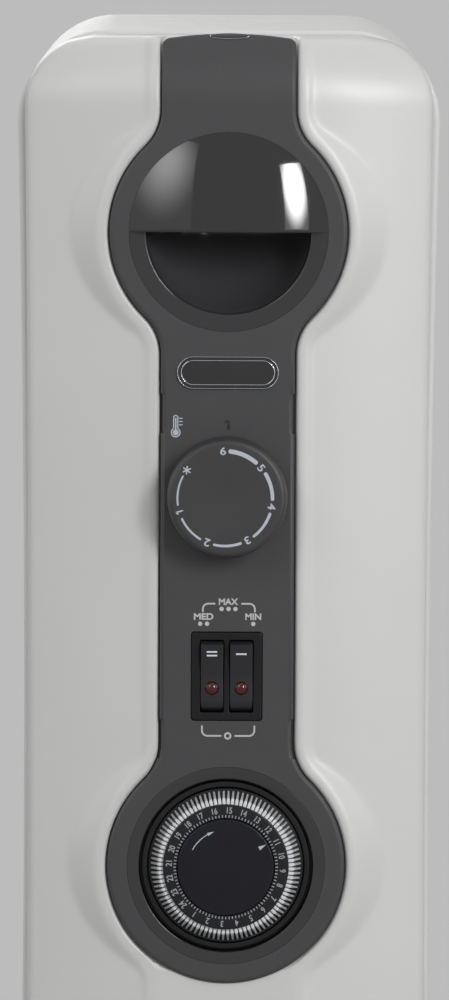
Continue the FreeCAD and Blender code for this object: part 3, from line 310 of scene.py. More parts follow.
BOWL_PLASTIC = Finish(
    "satin_bowl_plastic", (66, 66, 68), 0.09, gloss_spread=0.02, tone_spread=0.08, tone_scale=70.0,
    relief_scale=1900.0, relief_height=0.006,
)
SWITCH_PLASTIC = Finish(
    "switch_black_plastic", (25, 25, 27), 0.30, specular=0.25, tone_spread=0.08, tone_scale=120.0,
    relief_scale=3200.0, relief_height=0.012,
)
ROCKER_PLASTIC = Finish(
    "rocker_black_plastic", (33, 33, 37), 0.34, specular=0.45, tone_spread=0.08, tone_scale=120.0,
    relief_scale=3200.0, relief_height=0.012,
)
LENS_PLASTIC = Finish(
    "red_pilot_lens", (82, 2, 4), 0.03, specular=0.3, coat=0.5, gloss_spread=0.01, tone_spread=0.3,
    tone_scale=500.0, relief_scale=900.0, relief_height=0.006,
)
# Darker red painted on the lens's rim and wall, as the shade at the edge of a clear dome.
LENS_RIM_PAINTED_SHADE = Finish(
    "lens_rim_painted_shade", (44, 2, 4), 0.12, specular=0.2, tone_spread=0.2, tone_scale=500.0,
    relief_scale=900.0, relief_height=0.004,
)
DIAL_PLASTIC = Finish(
    "dial_black_plastic", (26, 26, 28), 0.36, specular=0.3, tone_spread=0.1, tone_scale=120.0,
    relief_scale=3000.0, relief_height=0.012,
)
CAP_PLASTIC = Finish(
    "dark_slate_disc", (24, 24, 31), 0.30, specular=0.25, tone_scale=90.0,
    relief_scale=2600.0, relief_height=0.008,
)
TAPPET_PLASTIC = Finish(
    "silver_tappet_plastic", (236, 238, 241), 0.25, coat=0.4, tone_spread=0.1, tone_scale=400.0,
    relief_scale=3000.0,
)
# Darker copy of the tappet plastic: painted shade on the outer stretch, where the bars slope away.
TAPPET_PAINTED_SHADE = Finish(
    "shaded_tappet_ends", (184, 185, 187), 0.3, tone_spread=0.16, tone_scale=400.0,
    relief_scale=3000.0, relief_height=0.004,
)
CHROME = Finish(
    "satin_chrome", (196, 198, 202), 0.18, metallic=1.0, tone_spread=0.08, tone_scale=200.0,
    relief=Relief.BRUSHED, relief_scale=1800.0, relief_height=0.003,
)
BADGE_FACE = Finish(
    "badge_face_lacquer", (30, 29, 31), 0.30, coat=0.4, tone_spread=0.1, tone_scale=160.0,
    relief_scale=2600.0, relief_height=0.008,
)
INNER_PLASTIC = Finish("inner_nylon", (196, 190, 176), 0.45, tone_spread=0.08, relief_height=0.02)
ZINC = Finish(
    "zinc_plated_steel", (176, 178, 178), 0.34, metallic=1.0, tone_spread=0.16, tone_scale=160.0,
    gloss_spread=0.1, relief=Relief.BRUSHED, relief_scale=1400.0, relief_height=0.008,
)
BRASS = Finish(
    "brass", (186, 150, 82), 0.30, metallic=1.0, tone_spread=0.15, tone_scale=200.0,
    relief=Relief.BRUSHED, relief_scale=1500.0, relief_height=0.006,
)
FOOT_PLASTIC = Finish(
    "foot_black_plastic", (46, 46, 48), 0.50, tone_spread=0.1, tone_scale=60.0, wear=0.05,
    relief=Relief.GRAIN, relief_scale=1300.0, relief_height=0.06,
)
WHEEL_PLASTIC = Finish(
    "wheel_black_plastic", (40, 40, 41), 0.44, tone_spread=0.14, tone_scale=90.0, wear=0.10,
    relief_scale=1600.0, relief_height=0.03,
)
INK = ink("pale_grey_print", (198, 197, 196))
HOUR_INK = ink("dim_blue_print", (160, 163, 171))
COOL_INK = ink("pale_blue_print", (190, 195, 206))
WHITE_INK = ink("white_print", (228, 231, 240), 0.45, 0.06)
# Dark print of the index mark; the same dark film is painted as shade in the clip slits and in the holes of
# the timer's rim.
DARK_PRINT_AND_SHADE = ink("dark_print_and_painted_shade", (20, 20, 22), 0.45, 0.1)


def quads(index: Array) -> Array:
    """Faces between each four neighbours of a grid of point numbers."""
    return np.stack([index[:-1, :-1], index[:-1, 1:], index[1:, 1:], index[1:, :-1]], axis=-1)


def joined(across: Array, depth: Array | float, height: Array) -> Array:
    """Points from their three parts, which are stretched to one shape."""
    return np.stack(np.broadcast_arrays(across, depth, height), axis=-1)


class Shell:
    """Points and faces of one piece, gathered from several surfaces."""

    def __init__(self) -> None:
        """Start with no points."""
        self._points: list[Array] = []
        self._faces: list[Array] = []
        self._looks: list[Array] = []
        self._count = 0

    def add(self, points: Array, faces: Array, look: int | Array = 0) -> "Shell":
        """Add points and the faces between them.

        Args:
            points: (n, 3) across, depth and height.
            faces: (m, 3) or (m, 4) numbers of those points.
            look: which of the piece's finishes the faces take, one for all or one for each.

        Returns:
            This shell.
        """
        self._points.append(points)
        self._faces.append(faces + self._count)
        self._looks.append(np.broadcast_to(look, len(faces)))
        self._count += len(points)
        return self

    def grid(self, points: Array, closed: bool = True, look: int = 0, skip: int | None = None) -> "Shell":
        """Add a grid of points, with a face between each four neighbours.

        Args:
            points: (rows, columns, 3) points.
            closed: whether the last column joins the first.
            look: which of the piece's finishes the faces take.
            skip: column whose faces to the next column are left out.

        Returns:
            This shell.
        """
        rows, columns = points.shape[:2]
        index = np.arange(rows * columns).reshape(rows, columns)
        faces = quads(np.hstack([index, index[:, :1]]) if closed else index)
        if skip is not None:
            faces = np.delete(faces, skip, axis=1)
        return self.add(points.reshape(-1, 3), faces.reshape(-1, 4), look)

    def fill(
        self, loops: Sequence[Array], depth: float, bend: "Bend | None" = None, ties: Array | None = None
    ) -> None:
        """Fill the flat face between closed loops, the first outside and the others holes.

        Args:
            loops: (n, 2) points of each loop, across and height.
            depth: depth of the face.
            bend: map that rolls the flat face.
            ties: (m, 2) numbers of points of the first loop to join across.
        """
        edges, count = [], 0
        for loop in loops:
            number = np.arange(len(loop))
            edges.append(np.column_stack([number, np.roll(number, -1)]) + count)
            count += len(loop)
        if ties is not None:
            edges.append(ties)
        found = delaunay_2d_cdt(np.vstack(loops).tolist(), np.vstack(edges).tolist(), [], 1, 1e-5)
        spots = np.array([tuple(spot) for spot in found[0]])
        faces = np.array(found[2])
        faces = faces[inside(spots[faces].mean(axis=1), loops)]
        self.add(rolled(joined(spots[:, 0], depth, spots[:, 1]), bend), faces)

    def build(
        self, name: str, finishes: Sequence[Finish], body: str, slot: Slot,
        nodes: Sequence[str] = (), sharp: float = 32.0, front: bool = False, close: bool = False,
    ) -> bpy.types.Object:
        """Make the object: weld the points, turn the faces outwards, dress it and hang it on its body.

        Args:
            name: name of the piece.
            finishes: finishes by number.
            body: body that the piece moves with.
            slot: slot of the record that it belongs to.
            nodes: CAD nodes that it stands for.
            sharp: angle in degrees above which an edge stays sharp.
            front: for an open sheet, turn its faces to the front.
            close: fill the holes that are left.

        Returns:
            The new object.
        """
        points = np.vstack(self._points) + (0.0, LIP_Y, 0.0)
        faces = [face for block in self._faces for face in block.tolist()]
        mesh = bpy.data.meshes.new(name)
        mesh.from_pydata((points * MM).tolist(), [], faces)
        mesh.polygons.foreach_set("material_index", np.concatenate(self._looks).astype(np.int32))
        shape = bmesh.new()
        shape.from_mesh(mesh)
        bmesh.ops.remove_doubles(shape, verts=shape.verts, dist=WELD)
        if close:
            rim = [edge for edge in shape.edges if edge.is_boundary]
            bmesh.ops.holes_fill(shape, edges=rim, sides=0)
        bmesh.ops.recalc_face_normals(shape, faces=shape.faces)
        if front and sum(face.normal.y * face.calc_area() for face in shape.faces) > 0:
            bmesh.ops.reverse_faces(shape, faces=shape.faces)
        return dress(smoothed(shape, mesh, sharp), finishes, body, slot, nodes)


def smoothed(shape: bmesh.types.BMesh, mesh: bpy.types.Mesh, sharp: float) -> bpy.types.Object:
    """Put a worked shape back into its mesh and shade it smooth between sharp edges.

    Args:
        shape: worked shape, which is freed.
        mesh: mesh that takes it.
        sharp: angle in degrees above which an edge stays sharp.

    Returns:
        New object of the mesh, with the mesh's name.
    """
    shape.to_mesh(mesh)
    shape.free()
    mesh.shade_smooth()
    mesh.set_sharp_from_angle(angle=math.radians(sharp))
    return bpy.data.objects.new(mesh.name, mesh)


def inside(spots: Array, loops: Sequence[Array]) -> Array:
    """Tell which spots lie between closed loops.

    A level ray from such a spot to the right crosses the loops an odd number of times.

    Args:
        spots: (n, 2) points.
        loops: (m, 2) points of each loop.

    Returns:
        True for each spot inside.
    """
    start = np.vstack(loops)
    end = np.vstack([np.roll(loop, -1, axis=0) for loop in loops])
    x, z = spots[:, :1], spots[:, 1:]
    spans = (start[:, 1] > z) != (end[:, 1] > z)
    run = np.where(end[:, 1] == start[:, 1], 1.0, end[:, 1] - start[:, 1])
    crossing = start[:, 0] + (z - start[:, 1]) / run * (end[:, 0] - start[:, 0])
    return (spans & (crossing > x)).sum(axis=1) % 2 == 1


def dress(
    piece: bpy.types.Object, finishes: Sequence[Finish], body: str, slot: Slot, nodes: Sequence[str]
) -> bpy.types.Object:
    """Link a piece, give it its finishes and hang it on its body.

    Args:
        piece: the new object.
        finishes: finishes by number.
        body: body that the piece moves with.
        slot: not used.
        nodes: CAD nodes that it stands for.

    Returns:
        The same object.
    """
    bpy.context.scene.collection.objects.link(piece)
    # Clearing sets every face to the first finish, so it is done only on a copied solid.
    if piece.data.materials:
        piece.data.materials.clear()
    for finish in finishes:
        piece.data.materials.append(finish.material())
    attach(piece, body)
    if nodes:
        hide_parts(*nodes)
    LOG.info("%s rides on %s", piece.name, body)
    return piece


@dataclass(frozen=True)
class Bend:
    """Flat sheet rolled back about a level axis above a height."""

    height: float
    axis_depth: float
    face_depth: float

    def roll(self, points: Array) -> Array:
        """Roll points: past the height, length along the sheet becomes an angle about the axis.

        Args:
            points: (..., 3) flat points, whose height is measured along the front face.

        Returns:
            Rolled points of the same shape.
        """
        past = np.maximum(points[..., 2] - self.height, 0.0)
        turn = past / (self.axis_depth - self.face_depth)
        radius = self.axis_depth - points[..., 1]
        height = np.minimum(points[..., 2], self.height) + radius * np.sin(turn)
        return joined(points[..., 0], self.axis_depth - radius * np.cos(turn), height)


def rolled(points: Array, bend: Bend | None) -> Array:
    """Points rolled by a bend, or as they are where there is none."""
    return points if bend is None else bend.roll(points)


def rounded(corners: Array, radius: float | Array, steps: int) -> Array:
    """Polyline with round corners.

    Each corner becomes an exact arc, written as a rational quadratic curve from the point where the
    arc leaves one side, by way of the corner, to the point where it meets the other side.

    Args:
        corners: (n, 2) corners.
        radius: radius of every corner, or one for each; both ends stay sharp.
        steps: segments in each arc.

    Returns:
        (m, 2) points.
    """
    size = np.broadcast_to(np.asarray(radius, float), (len(corners),)).copy()
    size[[0, -1]] = 0.0
    before = np.roll(corners, 1, axis=0) - corners
    after = np.roll(corners, -1, axis=0) - corners
    before = before / np.maximum(np.linalg.norm(before, axis=1, keepdims=True), 1e-9)
    after = after / np.maximum(np.linalg.norm(after, axis=1, keepdims=True), 1e-9)
    opening = np.arccos(np.clip((before * after).sum(axis=1), -1.0, 1.0))
    reach = size / np.maximum(np.tan(opening / 2), TINY)
    start = corners + before * reach[:, None]
    end = corners + after * reach[:, None]
    share = np.linspace(0.0, 1.0, steps + 1)[None, :, None]
    first, last = (1 - share) ** 2, share**2
    middle = 2 * share * (1 - share) * np.sin(opening / 2)[:, None, None]
    arcs = first * start[:, None] + middle * corners[:, None] + last * end[:, None]
    points = (arcs / (first + middle + last)).reshape(-1, 2)
    keep = np.linalg.norm(points - np.roll(points, 1, axis=0), axis=1) > TINY
    keep[0] = True
    return points[keep]


def section(rows: Sequence[tuple[float, float, float]], steps: int) -> Array:
    """Profile with round corners, from rows of (radius or growth, depth, corner radius)."""
    table = np.array(rows)
    return rounded(table[:, :2], table[:, 2], steps)


def ellipse(x: float, z: float, half: float, tall: float, steps: int = 64) -> LoopAt:
    """Oval loop about a middle, with a half width and half height that grow by the distance asked for."""
    unit = np.column_stack([wave(np.arange(steps) * (WHOLE / steps)) for wave in (np.sin, np.cos)])
    return lambda grow: np.array([x, z]) + (np.array([half, tall]) + grow) * unit


def circle(x: float, z: float, radius: float, steps: int) -> LoopAt:
    """Round loop that grows by the distance asked for."""
    return ellipse(x, z, radius, radius, steps)


def rectangle(x: float, z: float, half: float, tall: float, corner: float, steps: int = 8) -> LoopAt:
    """Rounded rectangle that grows by the distance asked for, its corners with it.

    Args:
        x: middle across.
        z: middle height.
        half: half width.
        tall: half height.
        corner: corner radius.
        steps: segments in each corner.

    Returns:
        Function from growth to (n, 2) points.
    """
    quarter = np.linspace(0.0, QUARTER, steps + 1)[None, :] + np.arange(4)[:, None] * QUARTER
    middle_x = x + np.array([1.0, -1.0, -1.0, 1.0])[:, None] * (half - corner)
    middle_z = z + np.array([1.0, 1.0, -1.0, -1.0])[:, None] * (tall - corner)

    def loop(grow: float) -> Array:
        """Loop grown by a distance."""
        across, up = (corner + grow) * np.cos(quarter), (corner + grow) * np.sin(quarter)
        return np.stack([middle_x + across, middle_z + up], axis=-1).reshape(-1, 2)

    return loop


def swept(loop: LoopAt, profile: Array) -> Array:
    """Carry a profile round a loop: each row (growth, depth) is the loop grown by that at that depth."""
    rings = np.stack([loop(float(grow)) for grow in profile[:, 0]])
    return joined(rings[..., 0], profile[:, 1, None], rings[..., 1])


def turned(
    profile: Array, x: float, z: float, steps: int = 144, start: float = 0.0, sweep: float = 360.0
) -> Array:
    """Turn a profile about a level axis that runs front to back.

    Each row (radius, depth) of the profile gives a circle of that radius at that depth.

    Args:
        profile: (m, 2) radii and depths.
        x: axis across.
        z: axis height.
        steps: segments in the sweep.
        start: first angle in degrees, clockwise from the top as seen from the front.
        sweep: angle swept in degrees.

    Returns:
        (m, n, 3) points, without the last column again where the sweep is a full turn.
    """
    whole = sweep >= 360.0
    turn = np.radians(np.linspace(start, start + sweep, steps + (not whole), endpoint=not whole))
    across, height = np.outer(profile[:, 0], np.sin(turn)), np.outer(profile[:, 0], np.cos(turn))
    return joined(x + across, profile[:, 1, None], z + height)


def edge(radius: float, face: float, back: float, hole: bool = False, hold: float = 0.3) -> Array:
    """Profile of a plate's edge: a narrow flat, a quarter round and a straight wall.

    Args:
        radius: radius of the round.
        face: depth of the face.
        back: depth where the wall ends.
        hole: whether the plate lies outside the loop.
        hold: width of the flat that keeps the face's shading even.

    Returns:
        (m, 2) growths and depths.
    """
    turn = np.linspace(0.0, QUARTER, 6)
    grow = np.concatenate([[-radius - hold], radius * (np.sin(turn) - 1), [0.0]])
    depth = np.concatenate([[face], face + radius * (1 - np.cos(turn)), [back]])
    return np.column_stack([-grow if hole else grow, depth])


def arc(angle: Array, centre: Sequence[float], radius: float) -> Array:
    """Points (across, height) of an arc about a centre, at angles in radians upwards from the right."""
    return np.column_stack([np.cos(angle), np.sin(angle)]) * radius + np.asarray(centre)


def polar(radius: float | Array, degrees: float | Array, centre: Sequence[float]) -> Array:
    """Points (across, height) at radii and angles clockwise from the top about a centre."""
    turn = np.radians(degrees)
    return np.stack([radius * np.sin(turn), radius * np.cos(turn)], axis=-1) + np.asarray(centre)


def ribbon(centre: Array, half: Array, face: float) -> Array:
    """Flat stroke that follows a line, as a thin closed bar.

    At each point of the line the stroke reaches half a width to both sides, square to the line.

    Args:
        centre: (n, 2) points of the line.
        half: half width at each point, nothing at the ends.
        face: depth of the surface that the stroke lies on.

    Returns:
        (n, 4, 3) points, closed across.
    """
    along = np.gradient(centre, axis=0)
    along = along / np.maximum(np.linalg.norm(along, axis=1, keepdims=True), 1e-9)
    side = np.column_stack([along[:, 1], -along[:, 0]]) * half[:, None]
    corners = np.stack([centre - side, centre - side, centre + side, centre + side], axis=1)
    depth = face + PRINT_RISE * np.array([1.0, -1.0, -1.0, 1.0])
    return joined(corners[..., 0], depth, corners[..., 1])


def stroke(line: Array, width: float | Array, face: float) -> Array:
    """Stroke with round ends along a line.

    The half width follows a half circle at each end, and the given width between.

    Args:
        line: (n, 2) points of the line.
        width: width, or one for each point.
        face: depth of the surface that the stroke lies on.

    Returns:
        (m, 4, 3) points, closed across.
    """
    half = np.broadcast_to(np.asarray(width, float) / 2, (len(line),))
    turn = np.linspace(0.0, QUARTER, 7)[:-1]
    head = (line[0] - line[1]) / np.linalg.norm(line[0] - line[1])
    tail = (line[-1] - line[-2]) / np.linalg.norm(line[-1] - line[-2])
    first = line[0] + head * (half[0] * np.cos(turn))[:, None]
    last = line[-1] + tail * (half[-1] * np.cos(turn[::-1]))[:, None]
    spread = np.concatenate([half[0] * np.sin(turn), half, half[-1] * np.sin(turn[::-1])])
    return ribbon(np.vstack([first, line, last]), spread, face)


def hoop(x: float, z: float, radius: float, width: float, face: float) -> Array:
    """Round stroke about a middle that closes on itself, as a thin bar on the face."""
    corners = np.array([(-1, 1), (-1, -1), (1, -1), (1, 1), (-1, 1)]) * (width / 2, PRINT_RISE)
    return swept(circle(x, z, radius, 40), corners + (0.0, face))


def dot(x: float, z: float, radius: float, face: float) -> Array:
    """Round dot about a middle on the face: a line across whose half width follows a half circle."""
    turn = np.linspace(0.0, math.pi, 17)
    return ribbon(np.outer(np.cos(turn), (radius, 0.0)) + (x, z), radius * np.sin(turn), face)


def write(
    shell: Shell, text: str, height: float, place: Sequence[float], face: float, lean: float,
    squeeze: float, weight: float,
) -> None:
    """Print letters on a surface: the font's outlines, centred, sized, leaned and put in place.

    Args:
        shell: piece to add to.
        text: letters or numbers.
        height: height of a capital.
        place: middle of the word, across and height.
        face: depth of the surface.
        lean: clockwise turn in degrees as seen from the front.
        squeeze: width of the letters against the font's own.
        weight: how far the outlines are fattened.
    """
    curve = bpy.data.curves.new("letters", "FONT")
    curve.body = text
    curve.size = 1.0
    curve.extrude = PRINT_RISE
    curve.offset = weight
    carrier = bpy.data.objects.new("letters", curve)
    mesh = bpy.data.meshes.new_from_object(carrier)
    mesh.calc_loop_triangles()
    points = np.empty(len(mesh.vertices) * 3)
    mesh.vertices.foreach_get("co", points)
    faces = np.empty(len(mesh.loop_triangles) * 3, np.int32)
    mesh.loop_triangles.foreach_get("vertices", faces)
    bpy.data.objects.remove(carrier)
    bpy.data.curves.remove(curve)
    bpy.data.meshes.remove(mesh)
    points = points.reshape(-1, 3)
    low, high = points.min(axis=0), points.max(axis=0)
    points = (points - (low + high) / 2) * (height / (high[1] - low[1]))
    x, up = points[:, 0] * squeeze, points[:, 1]
    sine, cosine = math.sin(math.radians(lean)), math.cos(math.radians(lean))
    depth = face - PRINT_RISE * np.sign(points[:, 2])
    placed = joined(place[0] + x * cosine + up * sine, depth, place[1] + up * cosine - x * sine)
    shell.add(placed, faces.reshape(-1, 3))


def softened(name: str, node: str, finish: Finish, body: str, slot: Slot, bevel: float) -> None:
    """Copy a CAD node as a piece with welded points, smooth rounds and broken edges.

    Args:
        name: name of the piece.
        node: CAD node to copy.
        finish: finish of the piece.
        body: body that the piece moves with.
        slot: slot of the record that it belongs to.
        bevel: width of the broken edges.
    """
    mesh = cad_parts[node].data.copy()
    mesh.name = name
    shape = bmesh.new()
    shape.from_mesh(mesh)
    bmesh.ops.remove_doubles(shape, verts=shape.verts, dist=WELD)
    flat = math.radians(0.5)
    bmesh.ops.dissolve_limit(shape, angle_limit=flat, verts=shape.verts, edges=shape.edges)
    piece = dress(smoothed(shape, mesh, BROKEN), [finish], body, slot, [node])
    rounding = piece.modifiers.new("broken_edges", "BEVEL")
    rounding.width = bevel * MM
    rounding.segments = 2
    rounding.limit_method = "ANGLE"
    rounding.angle_limit = math.radians(BROKEN)
    rounding.harden_normals = True


@dataclass(frozen=True)
class Waisted:
    """Rounded rectangle whose sides bow inwards between its corners."""

    half: float
    waist_inset: float
    corner: float
    low: float
    high: float

    def _arcs(self, draw: float) -> tuple[float, float, float, float, float]:
        """Corner radius, half waist, side radius, corner height and the corner's last angle.

        Args:
            draw: distance that the outline is drawn inside.

        Returns:
            The five sizes, heights measured from the middle.
        """
        radius = self.corner - draw
        waist = self.half - self.waist_inset - draw
        centre = self.half - self.corner
        rise = (self.high - self.low) / 2 - self.corner
        reach = waist - centre
        side = (reach**2 + rise**2 - radius**2) / (2 * (radius - reach))
        return radius, waist, side, rise, math.atan2(-rise, waist + side - centre)

    def half_at(self, z: Array, draw: float = 0.0) -> Array:
        """Half width at heights: a slack arc between the corners, a round arc in them.

        Args:
            z: heights.
            draw: distance that the outline is drawn inside.

        Returns:
            Half width at each height.
        """
        radius, waist, side, rise, last = self._arcs(draw)
        up = np.abs(z - (self.low + self.high) / 2)
        slack = waist + side - np.sqrt(side**2 - np.minimum(up, rise) ** 2)
        in_corner = np.maximum(radius**2 - (up - rise) ** 2, 0.0)
        curve = self.half - self.corner + np.sqrt(in_corner)
        return np.where(up < rise + radius * math.sin(last), slack, curve)

    def loop(self, draw: float) -> Array:
        """Closed outline, clockwise from the top, drawn inside by a distance.

        Args:
            draw: distance that the outline is drawn inside.

        Returns:
            (n, 2) points.
        """
        radius, _, _, rise, last = self._arcs(draw)
        middle = (self.low + self.high) / 2
        turn = np.linspace(QUARTER, last, 14)
        upper = arc(turn, (self.half - self.corner, middle + rise), radius)
        height = np.linspace(upper[-1, 1], 2 * middle - upper[-1, 1], 28)[1:-1]
        side = np.column_stack([self.half_at(height, draw), height])
        lower = upper[::-1] * (1.0, -1.0) + (0.0, 2 * middle)
        right = np.vstack([upper, side, lower])
        return np.vstack([right, right[::-1] * (-1.0, 1.0)])


@dataclass
class FinStack:
    """Seven pressed fins, each two sheets back to back with folded rims and an oil gallery."""

    count: int = 7
    waist_inset: float = 3.0
    corner: float = 34.0
    tuck: float = 0.8
    flange: float = 15.0
    fold: float = 3.0
    sheet: float = 0.7
    hem: float = 5.0
    web_lap: float = 1.2
    gallery_half: float = 56.0
    gallery_depth: float = 7.0
    gallery_corner: float = 24.0
    draft: float = 4.0
    wall_lap: float = 2.0
    wall_round: float = 1.6
    column: float = 27.0
    island_corner: float = 10.0
    header_inset: float = 62.0
    header: float = 20.0
    header_lap: float = 2.4
    header_round: float = 1.8
    boss: float = 15.0
    joint: float = 21.0

    def build(self) -> None:
        """Build each fin at the place of its node."""
        for number in range(1, self.count + 1):
            node = f"fin_{number}"
            span = Span.of(node)
            middle = {1: span.high[1] - self.joint, self.count: span.high[1] - self.flange}
            depth = middle.get(number, span.middle[1]) - LIP_Y
            shell = Shell()
            self._rim(shell, self._outline(span), depth)
            front = (self.boss, 0.0) if number == 1 else (self.joint, self.joint)
            back = (0.0, 0.0) if number == self.count else (self.joint, self.joint)
            self._side(shell, span, depth, -1.0, front)
            self._side(shell, span, depth, 1.0, back)
            shell.build(f"fin_{number}_pressing", [FIN_ENAMEL], ROOT, Slot.ENAMEL, [node])

    def _outline(self, span: Span) -> Waisted:
        """Outline of a fin, a little narrower than the box of its node."""
        half = span.size[0] / 2 - self.tuck
        return Waisted(half, self.waist_inset, self.corner, span.low[2], span.high[2])

    def _rim(self, shell: Shell, outline: Waisted, middle: float) -> None:
        """Add the folded rim: out from the web, round a hemmed edge, over the seam groove and back.

        Args:
            shell: piece to add to.
            outline: outline of the fin.
            middle: depth of the web's middle.
        """
        inner = self.sheet
        rows = (
            (self.fold + inner + self.web_lap, -inner, 0.0),
            (self.fold + inner, -inner, 0.5),
            (inner, -self.fold - inner, 1.4),
            (inner, inner - self.flange, 1.1),
            (self.hem, inner - self.flange, 0.33),
            (self.hem, -self.flange, 0.33),
            (0.0, -self.flange, 1.8),
            (0.0, -self.fold, 1.2),
            (self.fold, 0.0, 0.0),
        )
        half = section(rows, 5)
        profile = np.vstack([half, half[-2::-1] * (1.0, -1.0)])
        shell.grid(swept(outline.loop, profile + (0.0, middle)))

    def _side(self, shell: Shell, span: Span, middle: float, facing: float, collars: Pair) -> None:
        """Add one side's web, oil gallery and header collars.

        Args:
            shell: piece to add to.
            span: box of the fin's node.
            middle: depth of the web's middle.
            facing: -1 for the front, 1 for the back.
            collars: reach of the lower and upper collar, nothing for a blank wall.
        """
        low, high = span.low[2] + self.header_inset, span.high[2] - self.header_inset
        z, tall, bar = (low + high) / 2, (high - low) / 2, self.header + self.draft
        web = middle + facing * self.sheet
        top = middle + facing * self.gallery_depth
        outer = rectangle(0.0, z, self.gallery_half, tall + bar, self.gallery_corner)
        island = rectangle(0.0, z, self.gallery_half - self.column, tall - bar, self.island_corner)
        step, lap = self.gallery_depth - self.sheet, self.wall_lap
        wall = np.array([(lap, 0.0), (0.0, 0.0), (-self.draft, step), (-self.draft - lap, step)])
        profile = rounded(wall, self.wall_round, 4) * (1.0, facing) + (0.0, web)
        shell.grid(swept(outer, profile))
        shell.grid(swept(island, profile * (-1.0, 1.0)))
        rim = self._outline(span).loop(self.fold + self.sheet + self.web_lap)
        shell.fill([rim, outer(lap)], web)
        shell.fill([island(-lap)], web)
        holes = []
        for level, reach in zip((low, high), collars):
            if not reach:
                continue
            end = middle + facing * reach
            ring = self.header + self.header_lap
            pipe = ((ring, top, 0.0), (self.header, top, self.header_round), (self.header, end, 0.0))
            shell.grid(turned(np.vstack([section(pipe, 4), [(0.0, end)]]), 0.0, level, 48))
            holes.append(circle(0.0, level, ring, 48)(0.0))
        shell.fill([outer(-self.draft - lap), island(self.draft + lap), *holes], top)


@dataclass(frozen=True)
class StripOutline:
    """Outline of the control strip: a neck with two round lobes, joined to it by hollow arcs."""

    handle_z: float
    timer_z: float
    half: float = 24.9
    lobe: float = 44.2
    blend: float = 18.9

    @property
    def rise(self) -> float:
        """Height of a hollow arc's centre above its lobe's centre."""
        return math.sqrt((self.lobe + self.blend) ** 2 - (self.half + self.blend) ** 2)

    def half_at(self, z: Array, grow: float = 0.0) -> Array:
        """Half width at heights, with the neck going on past both lobes.

        Args:
            z: heights.
            grow: distance that the outline is grown.

        Returns:
            Half width at each height.
        """
        up = np.minimum(np.abs(z - self.handle_z), np.abs(z - self.timer_z))
        lobe, blend = self.lobe + grow, self.blend - grow
        touch = lobe * self.rise / (self.lobe + self.blend)
        on_lobe = np.sqrt(np.maximum(lobe**2 - up**2, 0.0))
        hollow = np.sqrt(np.maximum(blend**2 - (self.rise - up) ** 2, 0.0))
        on_blend = self.half + self.blend - hollow
        return np.where(up <= touch, on_lobe, np.where(up < self.rise, on_blend, self.half + grow))

    def side(self, grow: float) -> Array:
        """Right side from the neck above the handle down to the foot of the lower lobe.

        Args:
            grow: distance that the outline is grown.

        Returns:
            (n, 2) points.
        """
        turn = math.atan2(self.rise, self.half + self.blend)
        hollow = np.linspace(math.pi, math.pi + turn, 12)
        round_off = np.linspace(turn, -turn, 40)
        last = np.linspace(turn, -QUARTER, 60)
        centre = self.half + self.blend
        blend, lobe = self.blend - grow, self.lobe + grow
        arcs = [
            arc(hollow, (centre, self.handle_z + self.rise), blend),
            arc(round_off, (0.0, self.handle_z), lobe)[1:-1],
            arc(-hollow[::-1], (centre, self.handle_z - self.rise), blend),
            arc(hollow, (centre, self.timer_z + self.rise), blend),
            arc(last, (0.0, self.timer_z), lobe)[1:],
        ]
        return np.vstack(arcs)


